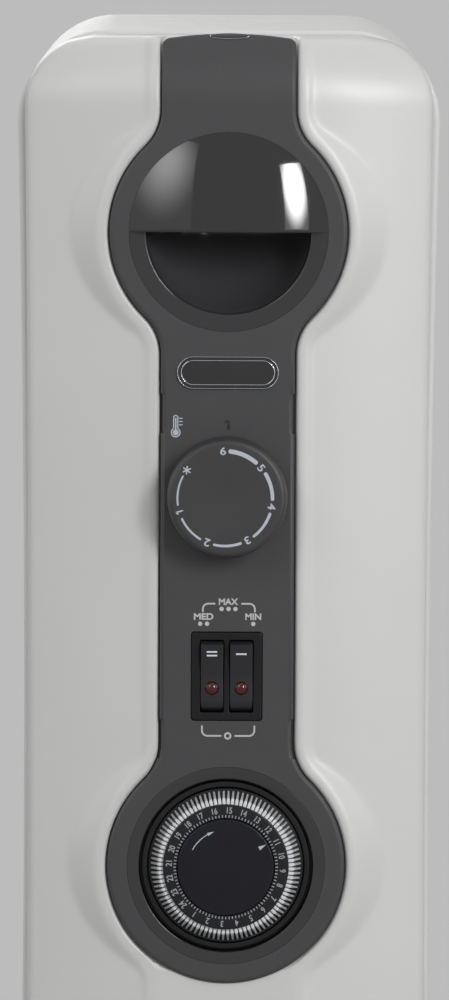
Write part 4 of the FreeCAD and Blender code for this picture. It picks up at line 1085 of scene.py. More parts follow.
@dataclass
class FrontCover:
    """Pressed steel cover: an arched face rolled back at both ends, with a raised lip round the strip."""

    strip: StripOutline
    waist_inset: float = 1.8
    corner: float = 25.5
    sheet: float = 1.0
    arch: float = 190.0
    arch_flat: float = 18.5
    roll_radius: float = 36.0
    roll_height: float = 26.0
    lip: float = 4.5
    lip_round: float = 1.5
    lip_end: float = 4.0
    lip_ease: float = 2.0
    turn_gap: float = 0.2
    turn_fall: float = 5.0
    turn_wide: float = 2.3
    turn_deep: float = 2.4
    foot_half: float = 18.0
    foot_fade: float = 18.0
    foot_rows: tuple[float, float, int] = (-2.6, 5.0, 22)
    top_drop: float = 0.9
    reach: float = 14.7
    fall: float = 8.3
    crease: float = 0.5
    lap: float = 2.5
    rim: float = 3.2
    rim_slope: float = 2.5
    rows: int = 262
    row_ease: float = 0.14
    opening_drop: float = 2.0
    inner_columns: Pair = (-1.2, 0.0)
    turn_reach: float = 2.0
    turn_columns: tuple[float, float, int] = (0.15, 1.0, 10)
    lip_columns: tuple[float, float, int] = (2.5, 6.7, 11)
    side_columns: tuple[float, float, int] = (7.3, 17.4, 16)
    edge_room: float = 1.5

    def __post_init__(self) -> None:
        """Take the outer box from the node."""
        self.span = Span.of("front_cover")
        low, high = self.span.low[2], self.span.high[2]
        self.outline = Waisted(
            self.span.size[0] / 2, self.waist_inset, self.corner, low, high - self.top_drop
        )
        self.roll_low = low + self.roll_height
        self.roll_top = high - self.roll_height

    def spread(self, x: Array, z: Array) -> Array:
        """Distance outside the strip's outline, inside it negative.

        It is the distance to the neck, to a lobe, or to the hollow arc between them, whichever the
        point lies beside.

        Args:
            x: distances across.
            z: heights.

        Returns:
            Distance at each point.
        """
        strip = self.strip
        across = np.abs(x)
        up = np.minimum(np.abs(z - strip.handle_z), np.abs(z - strip.timer_z))
        from_neck = across - strip.half
        from_lobe = np.hypot(across, up) - strip.lobe
        left = strip.half + strip.blend - across
        down = strip.rise - up
        turn = np.arctan2(down, left)
        limit = math.atan2(strip.rise, strip.half + strip.blend)
        beside = (turn > 0.0) & (turn < limit) & (left > 0.0)
        from_hollow = strip.blend - np.hypot(left, down)
        return np.where(beside, from_hollow, np.minimum(from_neck, from_lobe))

    def depth(self, x: Array, z: Array) -> Array:
        """Depth of the face.

        The face is the nearer of a round arch and the lip's sloping side, softly joined. Beside the strip
        the lip turns in by a quarter round, but not at the foot of the lower lobe. Past each roll line the
        face turns back about a level axis.

        Args:
            x: distances across.
            z: heights.

        Returns:
            Depth at each point.
        """
        crown = math.sqrt(self.arch**2 - self.arch_flat**2)
        arch = np.maximum(crown - np.sqrt(self.arch**2 - x**2), 0.0)
        slope = self.fall / (self.reach - self.lip)
        fall = slope * (self.spread(x, z) - self.lip)
        side = 0.5 * (fall + np.sqrt(fall**2 + self.lip_round**2))
        side = side * np.clip((fall + self.lip_end) / self.lip_ease, 0.0, 1.0)
        soft = self.crease * np.clip(np.minimum(arch, side) / self.crease, 0.0, 1.0)
        flat = 0.5 * (arch + side - np.sqrt((arch - side) ** 2 + soft**2))
        low = z < self.strip.timer_z
        below = np.hypot(x, z - self.strip.timer_z) - self.strip.lobe
        beside = np.where(low, below, self.spread(x, z))
        near = np.clip(1 - (beside - self.turn_gap) / self.turn_wide, 0.0, 1.0)
        turn = self.turn_deep * (1 - np.sqrt(1 - near**2))
        turn = turn + self.turn_fall * np.clip(self.turn_gap - beside, 0.0, 1.0)
        share = np.clip((np.abs(x) - self.foot_half) / self.foot_fade, 0.0, 1.0)
        flat = flat + turn * np.where(low, share, 1.0)
        past = np.maximum(np.maximum(z - self.roll_top, self.roll_low - z), 0.0)
        return self.roll_radius - np.sqrt(np.maximum((self.roll_radius - flat) ** 2 - past**2, 1.0))

    def _heights(self) -> Array:
        """Heights of the rows, closer together at both ends and at the foot of the lower lobe.

        Returns:
            (n,) heights from the bottom up.
        """
        even = np.linspace(-1.0, 1.0, self.rows)
        eased = (1 - self.row_ease) * even + self.row_ease * np.sin(even * QUARTER)
        low, high = self.outline.low + self.rim, self.outline.high - self.rim
        foot = self.strip.timer_z - self.strip.lobe + np.linspace(*self.foot_rows)
        return np.union1d((low + high) / 2 + eased * (high - low) / 2, foot)

    def _columns(self, z: Array) -> Array:
        """Distances across of the right half's columns, which follow the strip's outline.

        They stand closest where the lip turns in, then along the lip and its sloping side.

        Args:
            z: heights of the rows.

        Returns:
            (rows, columns) distances, from the opening or the middle to the edge.
        """
        strip = self.strip
        first = strip.half_at(z, -self.lap)
        foot = np.sqrt(np.maximum((strip.lobe - self.lap) ** 2 - (z - strip.timer_z) ** 2, 0.0))
        opening = np.where(z < strip.timer_z, np.minimum(foot, first), first)
        opening = np.where(z > self.roll_top - self.opening_drop, 0.0, opening)
        inside_lip = opening[:, None] + (first - opening)[:, None] * np.linspace(0.0, 1.0, 6)
        turning = self.turn_reach * np.linspace(*self.turn_columns) ** 2
        along = [np.linspace(*self.lip_columns), np.linspace(*self.side_columns)]
        grown = np.concatenate([self.inner_columns, turning, *along])
        beside = np.stack([strip.half_at(z, float(grow)) for grow in grown], axis=1)
        limit = self.outline.half_at(z, self.rim)[:, None]
        beside = np.minimum(beside, limit - self.edge_room)
        outside = beside[:, -1:] + (limit - beside[:, -1:]) * np.linspace(0.0, 1.0, 15)[1:]
        return np.hstack([inside_lip, beside, outside])

    def build(self) -> None:
        """Build the sheet and give it its thickness."""
        z = self._heights()
        right = self._columns(z)
        x = np.hstack([-right[:, ::-1], right])
        points = joined(x, self.depth(x, z[:, None]), z[:, None])
        shell = Shell().grid(points, closed=False, skip=right.shape[1] - 1).grid(self._edge(points))
        name, nodes = "front_cover_pressing", ["front_cover"]
        piece = shell.build(name, [ENAMEL], ROOT, Slot.ENAMEL, nodes, sharp=45.0, front=True)
        wall = piece.modifiers.new("sheet", "SOLIDIFY")
        wall.thickness = self.sheet * MM
        wall.offset = -1.0

    def _edge(self, points: Array) -> Array:
        """Turned edge: from the face's border, round into a straight wall that runs back.

        The round is a quadratic curve whose middle point is where the face's slope meets the wall.

        Args:
            points: (rows, columns, 3) points of the face.

        Returns:
            (steps, n, 3) points, closed round the border.
        """
        border = np.vstack([points[:-1, -1], points[-1, :0:-1], points[:0:-1, 0], points[0, :-1]])
        ways = np.array([(1.0, 0.0), (0.0, 1.0), (-1.0, 0.0), (0.0, -1.0)])
        counts = [len(points) - 1, points.shape[1] - 1] * 2
        out = self._outward(border, np.repeat(ways, counts, axis=0))
        step = 0.05
        near = self.depth(border[:, 0] + out[:, 0] * step, border[:, 2] + out[:, 1] * step)
        slope = np.clip((near - border[:, 1]) / step, 0.0, self.rim_slope)
        corner = border[:, 1] + slope * self.rim
        share = np.linspace(0.0, 1.0, 9)[:, None]
        first, middle, last = (1 - share) ** 2, 2 * share * (1 - share), share**2
        depth = first * border[:, 1] + middle * corner + last * (corner + self.rim)
        reach = np.vstack([self.rim * (middle + last), [[self.rim]]])
        depth = np.vstack([depth, np.full((1, len(border)), self.span.size[1])])
        return joined(border[:, 0] + out[:, 0] * reach, depth, border[:, 2] + out[:, 1] * reach)

    def _outward(self, border: Array, plain: Array) -> Array:
        """Outward directions of the outline along its border.

        In a corner the direction runs from the corner's centre; elsewhere it is the plain one.

        Args:
            border: (n, 3) points.
            plain: (n, 2) directions on the straight stretches.

        Returns:
            (n, 2) unit directions.
        """
        outline = self.outline
        x, z = border[:, 0], border[:, 2] - (outline.low + outline.high) / 2
        across = np.abs(x) - (outline.half - self.corner)
        up = np.abs(z) - ((outline.high - outline.low) / 2 - self.corner)
        size = np.maximum(np.hypot(across, up), TINY)
        round_off = np.column_stack([np.sign(x) * across / size, np.sign(z) * up / size])
        in_corner = (across > 0.0) & (up > 0.0)
        return np.where(in_corner[:, None], round_off, plain)


@dataclass(frozen=True)
class Word:
    """Printed word with dots under it, placed from the switch's middle."""

    text: str
    x: float
    up: float
    dots: int
    squeeze: float


@dataclass
class Fascia:
    """Moulded control strip, rolled over the cover's top, with its prints and badges."""

    cover: FrontCover
    face: float = -1.5
    back: float = 1.9
    edge_round: float = 1.5
    top_rise: float = 1.0
    crown: float = 150.0
    top_corner: float = 3.5
    gap: float = 0.2
    slit_deep: float = 0.65
    slit_long: float = 7.5
    # Depth of the dark sheet of painted shade in each clip slit.
    slit_floor: float = 1.7
    upper_slit: float = 67.5
    lower_slit: float = 47.3
    bead_inset: float = 1.35
    top_badge_angle: float = 42.5
    top_badge_half: float = 7.5
    top_badge_tall: float = 1.4
    bowl: float = 37.05
    bezel: float = 36.85
    shaft: float = 5.2
    words: tuple[Word, ...] = (
        Word("MAX", 0.6, 27.85, 3, 1.02),
        Word("MED", -8.65, 22.3, 2, 1.13),
        Word("MIN", 9.8, 22.3, 1, 1.05),
    )
    word_tall: float = 2.45
    word_weight: float = 0.035
    spot: float = 0.82
    spot_pitch: float = 2.57
    spot_drop: float = 2.7
    bracket_line: float = 0.62
    bracket_round: float = 2.0
    off_at: Pair = (0.5, -22.2)
    off_radius: float = 1.04
    off_line: float = 0.66
    sign_at: Pair = (-19.3, 23.7)
    bulb: float = 1.62
    bulb_full: float = 1.12
    tube_half: float = 0.78
    tube_top: float = 6.3
    tube_line: float = 0.42
    stem: Pair = (0.4, 5.2)
    stem_line: float = 0.55
    tick: Pair = (1.45, 2.35)
    tick_line: float = 0.4
    tick_levels: tuple[float, ...] = (2.83, 4.05, 5.26)

    def __post_init__(self) -> None:
        """Set the bend that rolls the strip over the cover's top."""
        self.strip = self.cover.strip
        self.bend = Bend(self.cover.roll_top, self.cover.roll_radius, self.face)
        self.knob_z = float(Span.of("thermostat_knob").middle[2])
        self.switch_z = float(Span.of("switch_housing").middle[2])

    def _top_at(self, x: Array) -> Array:
        """Length along the sheet of the strip's crowned top edge: a level arc, unrolled.

        Args:
            x: distances across.

        Returns:
            Length at each distance.
        """
        top = self.cover.span.high[2] + self.top_rise
        height = top - self.crown + np.sqrt(self.crown**2 - x**2)
        radius = self.bend.axis_depth - self.face
        return self.bend.height + radius * np.arcsin((height - self.bend.height) / radius)

    def _outer(self, grow: float) -> Array:
        """Outline of the flat sheet, clockwise from the middle of its top.

        Args:
            grow: distance that the outline is grown.

        Returns:
            (n, 2) points.
        """
        shoulder = self.strip.half - self.top_corner
        x = np.linspace(0.0, shoulder, 8)
        top = np.column_stack([x, self._top_at(x) + grow])
        turn = np.linspace(QUARTER, 0.0, 7)[1:]
        radius = self.top_corner + grow
        low = float(self._top_at(np.array(shoulder))) - self.top_corner
        corner = arc(turn, (shoulder, low), radius)
        levels = np.linspace(low, self.bend.height, 18)[1:]
        neck = np.column_stack([np.full(len(levels), self.strip.half + grow), levels])
        right = np.vstack([top, corner, neck, self._slit_side(grow)])
        return np.vstack([right, right[-2:0:-1] * (-1.0, 1.0)])

    def _slits(self) -> Pair:
        """Heights of the upper and lower clip slits."""
        return self.strip.handle_z - self.upper_slit, self.strip.timer_z + self.lower_slit

    def _slit_side(self, grow: float) -> Array:
        """Right side of the strip with its two clip slits, each a step into the edge and out again.

        Args:
            grow: distance that the outline is grown.

        Returns:
            (n, 2) points.
        """
        level = np.array([1.0, 0.97, 0.6, 0.2, -0.2, -0.6, -0.97, -1.0]) * self.slit_long
        inset = np.where(np.abs(level) < self.slit_long, self.slit_deep, 0.0)
        plain, side = self.strip.side(0.0), self.strip.side(grow)
        for middle in self._slits():
            z = middle + level
            above, below = plain[:, 1] > z[0], plain[:, 1] < z[-1]
            steps = np.column_stack([self.strip.half_at(z, grow) - inset, z])
            side = np.vstack([side[above], steps, side[below]])
            plain = np.vstack([plain[above], steps, plain[below]])
        return side

    def build(self) -> None:
        """Build the strip, its badges and its prints."""
        window = (Switch.half + self.gap, Switch.tall + self.gap, Switch.corner)
        holes = [
            (circle(0.0, self.strip.handle_z, self.bowl, 128), 0.1),
            (circle(0.0, self.strip.timer_z, self.bezel, 128), 0.1),
            (circle(0.0, self.knob_z, self.shaft, 32), 0.2),
            (rectangle(0.0, self.switch_z, *window), 0.25),
        ]
        # Dark sheets deep in each clip slit are painted shade: they stand for the shade inside the slit.
        pockets = Shell()
        for middle in self._slits():
            z = middle + (self.slit_long - 0.5) * np.linspace(-1.0, 1.0, 9)
            x = self.strip.half_at(z) - self.slit_deep / 2
            for side in (-1.0, 1.0):
                floor = np.column_stack([side * x, z])
                pockets.grid(stroke(floor, self.slit_deep + 0.1, self.slit_floor))
        self._plate(holes)
        pockets.build("clip_slit_painted_shade", [DARK_PRINT_AND_SHADE], ROOT, Slot.DARK)
        self._badges()
        self._scale()
        self._thermometer()
        self._index()

    def _plate(self, holes: Sequence[tuple[LoopAt, float]]) -> None:
        """Build the strip's plate with rounded front edges, its rolled top tied across from side to side.

        Args:
            holes: loop and edge radius of each hole.
        """
        right = np.arange(1, 31)
        ties = np.column_stack([right, len(self._outer(0.0)) - right])
        rims = [(self._outer, edge(self.edge_round, self.face, self.back, hold=0.1))]
        for loop, size in holes:
            rims.append((loop, edge(size, self.face, self.back, hole=True, hold=min(size, 0.3))))
        shell = Shell()
        for loop, profile in rims:
            shell.grid(self.bend.roll(swept(loop, profile)))
        fronts = [loop(float(profile[0, 0])) for loop, profile in rims]
        shell.fill(fronts, self.face, self.bend, ties)
        shell.fill([loop(0.0) for loop, _ in rims], self.back, self.bend, ties)
        shell.build("control_strip", [FASCIA_PLASTIC], ROOT, Slot.DARK, ["fascia"])

    def _badges(self) -> None:
        """Build both blank oval badges: half-round beads and a slightly crowned plate each."""
        badge = Span.of("badge_rim")
        z, half, tall = badge.middle[2], badge.size[0] / 2, badge.size[2] / 2
        oval = rectangle(0.0, z, half, tall, tall - HAIR, 20)
        half, tall = half - self.bead_inset, tall - self.bead_inset
        inner = rectangle(0.0, z, half, tall, tall - HAIR, 20)
        length = (self.bend.axis_depth - self.face) * math.radians(self.top_badge_angle)
        small = ellipse(0.0, self.bend.height + length, self.top_badge_half, self.top_badge_tall)
        self._bead("badge_bead", oval, 0.6, 1.0, ["badge_rim"])
        self._bead("badge_inner_bead", inner, 0.65, 0.9, [])
        self._blank("badge_blank", oval, 0.5, 0.5, "badge_plate")
        self._bead("top_badge_bead", small, 0.3, 0.4, [])
        self._blank("top_badge_blank", small, 0.4, 0.35, "top_badge")

    def _bead(self, name: str, oval: LoopAt, width: float, proud: float, nodes: Sequence[str]) -> None:
        """Build a bead: half an ellipse carried round an oval and rolled with the strip.

        Args:
            name: name of the piece.
            oval: outer loop of the bead.
            width: width of the bead.
            proud: height of the bead above the strip.
            nodes: CAD nodes that it stands for.
        """
        turn = np.linspace(0.0, math.pi, 13)
        grow = width / 2 * (np.cos(turn) - 1)
        profile = np.column_stack([grow, self.face - proud * np.sin(turn)])
        rings = swept(oval, np.vstack([profile, profile[:1]]))
        Shell().grid(self.bend.roll(rings)).build(name, [CHROME], ROOT, Slot.CHROME, nodes)

    def _blank(self, name: str, oval: LoopAt, inset: float, proud: float, node: str) -> None:
        """Build a blank plate: rings that shrink to the middle of an oval and rise by a quarter sine.

        Args:
            name: name of the piece.
            oval: outer loop of the badge.
            inset: width of the bead round the plate.
            proud: height of the plate's middle above the strip.
            node: CAD node that it stands for.
        """
        share = np.linspace(0.0, 1.0, 9)
        loop = oval(-inset)
        middle = loop.mean(axis=0)
        rings = middle + (loop - middle)[None] * (1 - share[:, None, None])
        lift = self.face - proud * (0.55 + 0.45 * np.sin(share * QUARTER))
        rings = joined(rings[..., 0], lift[:, None], rings[..., 1])
        base = rings[:1] * (1.0, 0.0, 1.0) + (0.0, self.face, 0.0)
        shell = Shell().grid(self.bend.roll(np.concatenate([base, rings])))
        shell.build(name, [BADGE_FACE], ROOT, Slot.BADGE, [node], close=True)

    def _scale(self) -> None:
        """Print the switch's scale: words with dots, brackets that lead to them and the off sign."""
        shell = Shell()
        z = self.switch_z
        for word in self.words:
            place = (word.x, z + word.up)
            write(shell, word.text, self.word_tall, place, self.face, 0.0, word.squeeze, self.word_weight)
            for step in np.arange(word.dots) - (word.dots - 1) / 2:
                x = word.x + self.spot_pitch * step
                shell.grid(dot(x, z + word.up - self.spot_drop, self.spot, self.face))
        x, up = self.off_at
        shell.grid(hoop(x, z + up, self.off_radius, self.off_line, self.face))
        brackets = (
            ((-8.95, 24.2), (-8.95, 27.1), (-4.6, 27.1)),
            ((5.6, 27.1), (10.4, 27.1), (10.4, 24.2)),
            ((-9.1, -18.6), (-9.1, -22.2), (-2.1, -22.2)),
            ((3.3, -22.2), (10.4, -22.2), (10.4, -18.6)),
        )
        for bracket in brackets:
            line = rounded(np.array(bracket) + (0.0, z), self.bracket_round, 8)
            shell.grid(stroke(line, self.bracket_line, self.face))
        shell.build("switch_scale", [INK], ROOT, Slot.DARK, sharp=PRINT_SHARP)

    def _thermometer(self) -> None:
        """Print a thermometer: an outlined tube with a full bulb, and three ticks beside it."""
        half, ball, top = self.tube_half, self.bulb, self.tube_top
        x, z = self.sign_at[0], self.knob_z + self.sign_at[1]
        neck = math.sqrt(ball**2 - half**2)
        corners = np.array([(-half, neck), (-half, top), (half, top), (half, neck)])
        first = math.atan2(neck, half)
        turn = np.linspace(first, -math.pi - first, 30)[1:]
        bulb = arc(turn, (0.0, 0.0), ball)
        outline = np.vstack([rounded(corners, half - 0.01, 8), bulb]) + (x, z)
        stem = np.array([(x, z + up) for up in self.stem])
        shell = Shell().grid(stroke(outline, self.tube_line, self.face))
        shell.grid(stroke(stem, self.stem_line, self.face))
        shell.grid(dot(x, z, self.bulb_full, self.face - PRINT_STEP))
        for up in self.tick_levels:
            tick = np.array([(x + out, z + up) for out in self.tick])
            shell.grid(stroke(tick, self.tick_line, self.face))
        shell.build("thermometer_sign", [COOL_INK], ROOT, Slot.DARK, sharp=PRINT_SHARP)

    def _index(self) -> None:
        """Print the index mark over the knob: a short hook that thickens at its foot."""
        hook = np.array([(-0.75, 27.4), (-0.35, 28.2), (0.3, 28.1), (0.3, 25.3)])
        line = rounded(hook + (0.0, self.knob_z), 0.35, 4)
        width = np.array([0.6] * (len(line) - 1) + [1.15])
        shell = Shell().grid(stroke(line, width, self.face))
        shell.build("index_mark", [DARK_PRINT_AND_SHADE], ROOT, Slot.DARK, sharp=PRINT_SHARP)


@dataclass
class Handle:
    """Recessed pull handle: a bowl with a ring, half covered by a domed hood."""

    face: float = -1.5
    radius: float = 37.0
    rim: float = 30.6
    ring_inner: float = 0.55
    ring_outer: float = 0.1
    sink: float = 2.4
    bowl_depth: float = 24.0
    back: float = 2.0
    skirt: float = 3.0
    case: float = 25.5
    rise: float = 8.0
    grip: float = 4.6
    soft: float = 0.7
    inner: float = 30.5

    def build(self) -> None:
        """Build the bowl and the hood about the middle of the bowl's node."""
        self.z = float(Span.of("handle_bowl").middle[2])
        self._bowl()
        self._hood()

    def _bowl(self) -> None:
        """Build the bowl: a ball's cap inside, and a ring that slopes inwards below the hood."""
        lip = self.face + self.sink
        ball = (self.rim**2 + self.bowl_depth**2) / (2 * self.bowl_depth)
        turn = np.linspace(0.0, math.asin(self.rim / ball), 28)
        centre = lip + self.bowl_depth - ball
        cap = np.column_stack([ball * np.sin(turn), centre + ball * np.cos(turn)])[:-1]
        skirt, case = self.radius + self.skirt, self.back + self.case
        behind = np.array([(self.radius, self.back), (skirt, self.back), (skirt, case), (0.0, case)])
        shell = Shell()
        for inner, outer, start in ((self.ring_inner, self.ring_outer, 90.0), (0.0, 0.0, -90.0)):
            rows = (
                (*cap[-1], 0.0),
                (self.rim, lip, 0.3),
                (self.rim, self.face + inner, 0.7),
                (self.radius, self.face + outer, 0.12),
                (self.radius, self.back, 0.0),
            )
            half = (0.0, self.z, 96, start, 180.0)
            shell.grid(turned(cap, *half), closed=False, look=1)
            shell.grid(turned(section(rows, 6), *half), closed=False)
            shell.grid(turned(behind, *half), closed=False, look=1)
        finishes = [RING_PLASTIC, BOWL_PLASTIC]
        shell.build("handle_bowl_moulding", finishes, ROOT, Slot.GLOSS, ["handle_bowl"], close=True)

    def _dome(self, x: Array, z: Array) -> Array:
        """Depth of the hood's shallow ball at points about the centre."""
        ball = (self.radius**2 + self.rise**2) / (2 * self.rise)
        return self.face - self.rise + ball - np.sqrt(ball**2 - x**2 - z**2)

    def _hood(self) -> None:
        """Build the hood: rows across the upper half of the dome, folded round a straight grip edge.

        The rows close up towards the top, and the last few turn a quarter round under the edge. The inside
        is the outside drawn in towards the centre, by a share in width and another in depth.
        """
        side = np.sin(np.linspace(-QUARTER, QUARTER, 73))
        up = self.radius * np.sin(np.linspace(QUARTER, 0.0, 37))[:-1]
        turn = np.linspace(0.0, QUARTER, 7)
        height = np.concatenate([np.maximum(up, self.soft), self.soft * (1 - np.sin(turn))])
        drop = np.concatenate([np.zeros(len(up)), self.soft * (1 - np.cos(turn))])
        half = np.sqrt(np.maximum(self.radius**2 - height**2, 0.0))
        x = half[:, None] * side
        z = height[:, None]
        taper = np.clip(1 - (x**2 + z**2) / self.radius**2, 0.0, 1.0)
        outer = self._dome(x, z) + drop[:, None] * np.sqrt(taper)
        share = self.inner / self.radius
        inner = self.face + (outer - self.face) * (self.rise - self.grip) / self.rise
        front = joined(x, outer, self.z + z)
        behind = joined(x * share, inner, self.z + z * share)[::-1]
        shell = Shell().grid(np.concatenate([front, behind]), closed=False)
        shell.build("handle_hood_moulding", [GLOSS_PLASTIC], ROOT, Slot.GLOSS, ["handle_hood"], close=True)


@dataclass
class Thermostat:
    """Thermostat knob with its printed scale."""

    taper: float = 0.6
    round_off: float = 2.0
    dish: float = 0.35
    dish_inset: float = 3.4
    wall: float = 2.2
    wall_top: float = 2.6
    roof: float = 2.4
    scale: float = 17.6
    print_at: Pair = (-0.9, 0.05)
    print_room: float = 0.12
    figure: float = 2.9
    figure_squeeze: float = 1.2
    figure_weight: float = 0.02
    arm: float = 1.4
    arm_line: float = 0.5
    one_line: float = 0.55
    angles: tuple[float, ...] = (-2.5, 49.5, 99.5, 151.5, 202.0, 253.5, 306.5)
    figures: str = "654321*"
    arc_room: tuple[float, ...] = (9.1, 9.1, 9.3, 9.1, 9.1, 8.7)
    arc_first: tuple[float, ...] = (1.65, 1.4, 1.1, 1.0, 0.8, 0.7)
    arc_last: tuple[float, ...] = (1.55, 1.3, 1.0, 0.9, 0.75, 0.62)

    def build(self) -> None:
        """Build the knob, turned from a section with a dished face, and its print."""
        span = Span.of("thermostat_knob")
        z, radius = float(span.middle[2]), span.size[0] / 2
        face, back = span.low[1] - LIP_Y + self.print_room, span.high[1] - LIP_Y
        top = radius - self.taper
        flat = top - self.dish_inset
        rows = (
            (flat, face, 0.0),
            (top, face, self.round_off),
            (radius, back, 0.35),
            (radius - self.wall, back, 0.3),
            (radius - self.wall_top, face + self.roof, 0.3),
            (0.0, face + self.roof, 0.0),
        )
        share = np.linspace(0.0, 1.0, 10)[:-1]
        middle = np.column_stack([flat * share, face + self.dish * (1 - share**2) ** 2])
        shell = Shell().grid(turned(np.vstack([middle, section(rows, 8)]), 0.0, z))
        shell.build("thermostat_knob_moulding", [KNOB_PLASTIC], "knob", Slot.DARK, ["thermostat_knob"])
        self._scale(z, face)

    def _scale(self, z: float, face: float) -> None:
        """Print the figures, and arcs between them that thicken towards the hot end.

        Args:
            z: height of the knob's axis.
            face: depth of the knob's face.
        """
        shell = Shell()
        centre = np.array([0.0, z]) + self.print_at
        for figure, angle in zip(self.figures, self.angles):
            out, across = polar(1.0, np.array([angle, angle + 90.0]), (0.0, 0.0))
            place = centre + self.scale * out
            if figure == "*":
                for step, arm in enumerate(np.radians([0.0, 60.0, 120.0])):
                    ray = self.arm * (math.cos(arm) * out + math.sin(arm) * across)
                    line = np.array([place - ray, place + ray])
                    shell.grid(stroke(line, self.arm_line, face - PRINT_STEP * step))
            elif figure == "1":
                flag = np.array([(-0.65, 0.7), (0.1, 1.2), (0.1, -1.2)])
                line = place + flag[:, :1] * across + flag[:, 1:] * out
                shell.grid(stroke(rounded(line, 0.1, 3), self.one_line, face))
            else:
                font = (self.figure_squeeze, self.figure_weight)
                write(shell, figure, self.figure, place, face, angle, *font)
        arcs = zip(self.angles, self.angles[1:], self.arc_room, self.arc_first, self.arc_last)
        for first, last, room, thick, thin in arcs:
            line = polar(self.scale, np.linspace(first + room, last - room, 24), centre)
            shell.grid(stroke(line, np.linspace(thick, thin, 24), face))
        shell.build("thermostat_scale", [COOL_INK], "knob", Slot.DARK, sharp=PRINT_SHARP)


@dataclass
class Switch:
    """Twin rocker switch: frame with two windows, two rockers, two pilot lenses and their prints."""

    front: float = -1.8
    half: float = 13.1
    tall: float = 16.4
    corner: float = 1.2
    window_half: float = 4.45
    window_tall: float = 13.5
    window_corner: float = 0.5
    pitch: float = 5.44
    floor: float = 14.5
    back: float = 20.0
    rocker_half: float = 4.2
    rocker_soft: float = 0.45
    rocker_flat: float = 0.3
    crest: float = 0.9
    crest_rise: float = 0.16
    face_rise: float = 0.02
    end_gap: float = 0.35
    swing: float = 13.2
    curl_from: float = 8.8
    curl: float = 0.11
    tilt: float = 12.0
    rocker_face: float = -1.9
    pivot: float = 1.0
    rocker_back: float = 7.0
    lens_radius: float = 2.55
    lens_rise: float = 1.3
    lens_clear: float = 2.05
    lens_wall: float = 3.0
    lens_drop: float = 4.4
    left_bars: tuple[float, ...] = (7.9, 9.3)
    right_bars: tuple[float, ...] = (8.5,)
    bar_reach: float = 1.95
    bar_half: float = 0.31

    def build(self) -> None:
        """Build the frame, then each rocker with its lens and print."""
        self.z = float(Span.of("switch_housing").middle[2])
        self._frame()
        for name, side, bars in (("left", -1.0, self.left_bars), ("right", 1.0, self.right_bars)):
            self._rocker(name, side * self.pitch)
            self._lens(name, side * self.pitch)
            self._sign(name, side * self.pitch, bars)

    def _frame(self) -> None:
        """Build the frame and case as one closed moulding with two pockets."""
        shell = Shell()
        outer = rectangle(0.0, self.z, self.half, self.tall, self.corner)
        window = (self.z, self.window_half, self.window_tall, self.window_corner, 4)
        windows = [rectangle(side * self.pitch, *window) for side in (-1.0, 1.0)]
        rims = [(outer, edge(0.45, self.front, self.back))]
        rims += [(loop, edge(0.3, self.front, self.floor, hole=True, hold=0.2)) for loop in windows]
        for loop, profile in rims:
            shell.grid(swept(loop, profile))
        shell.fill([loop(float(profile[0, 0])) for loop, profile in rims], self.front)
        shell.fill([outer(0.0)], self.back)
        for loop in windows:
            shell.fill([loop(0.0)], self.floor)
        shell.build("switch_frame", [SWITCH_PLASTIC], ROOT, Slot.SWITCH, ["switch_housing"])

    def _rocker(self, name: str, x: float) -> None:
        """Build a rocker: its side outline carried across, with rounded long edges.

        The outline is a lower face that curls in at its end, an upper face that leans out, round ends
        about the pivot and a flat back.

        Args:
            name: side of the switch.
            x: middle of the rocker across.
        """
        lean = math.radians(self.tilt)
        reach = self.pivot - self.rocker_face
        upper = lean + math.asin(reach * math.cos(lean) / self.swing)
        start = -math.asin((self.rocker_back - self.pivot) / self.swing)
        top = np.linspace(start, upper, 14)
        run = np.linspace(-self.crest, self.end_gap - self.swing, 16)
        face = reach + self.face_rise - self.curl * np.maximum(-run - self.curl_from, 0.0) ** 2
        bottom = np.linspace(math.atan2(face[-1], run[-1]), math.pi - start, 12)[1:]
        outline = [
            arc(top, (0.0, 0.0), self.swing),
            [(self.crest, reach + self.crest_rise)],
            np.column_stack([run, face]),
            arc(bottom, (0.0, 0.0), self.swing),
        ]
        ring = np.vstack(outline)
        soft, turn = self.rocker_soft, np.linspace(0.0, QUARTER, 6)
        inset = np.concatenate([[soft + self.rocker_flat], soft * (1 - np.sin(turn))])
        inset = np.concatenate([inset, inset[::-1]])
        across = np.concatenate([[0.0], soft * (1 - np.cos(turn))]) - self.rocker_half
        across = np.concatenate([across, -across[::-1]])
        size = np.linalg.norm(ring, axis=1, keepdims=True)
        shrunk = ring[None] * (1 - inset[:, None, None] / size[None])
        points = joined(x + across[:, None], self.pivot - shrunk[..., 1], self.z + shrunk[..., 0])
        body, nodes = f"{name}_switch", [f"rocker_{name}"]
        shell = Shell().grid(points)
        shell.build(f"rocker_{name}_moulding", [ROCKER_PLASTIC], body, Slot.SWITCH, nodes, close=True)

    def _lens(self, name: str, x: float) -> None:
        """Build a pilot lens: a low ball's cap, its rim and wall in a darker finish of painted shade.

        Args:
            name: side of the switch.
            x: middle of the rocker across.
        """
        ball = (self.lens_radius**2 + self.lens_rise**2) / (2 * self.lens_rise)
        turn = np.linspace(0.0, math.asin(self.lens_radius / ball), 16)
        depth = self.rocker_face - self.lens_rise + ball * (1 - np.cos(turn))
        dome = np.column_stack([ball * np.sin(turn), depth])
        foot = self.rocker_face + self.lens_wall
        clear = dome[dome[:, 0] < self.lens_clear]
        rim = np.vstack([dome[len(clear) - 1 :], [(self.lens_radius, foot), (0.0, foot)]])
        place = (x, self.z - self.lens_drop, 48)
        # The rim and wall take the darker finish of painted shade.
        shell = Shell().grid(turned(clear, *place)).grid(turned(rim, *place), look=1)
        body, nodes = f"{name}_switch", [f"lens_{name}"]
        shell.build(f"lens_{name}_dome", [LENS_PLASTIC, LENS_RIM_PAINTED_SHADE], body, Slot.LENS, nodes)

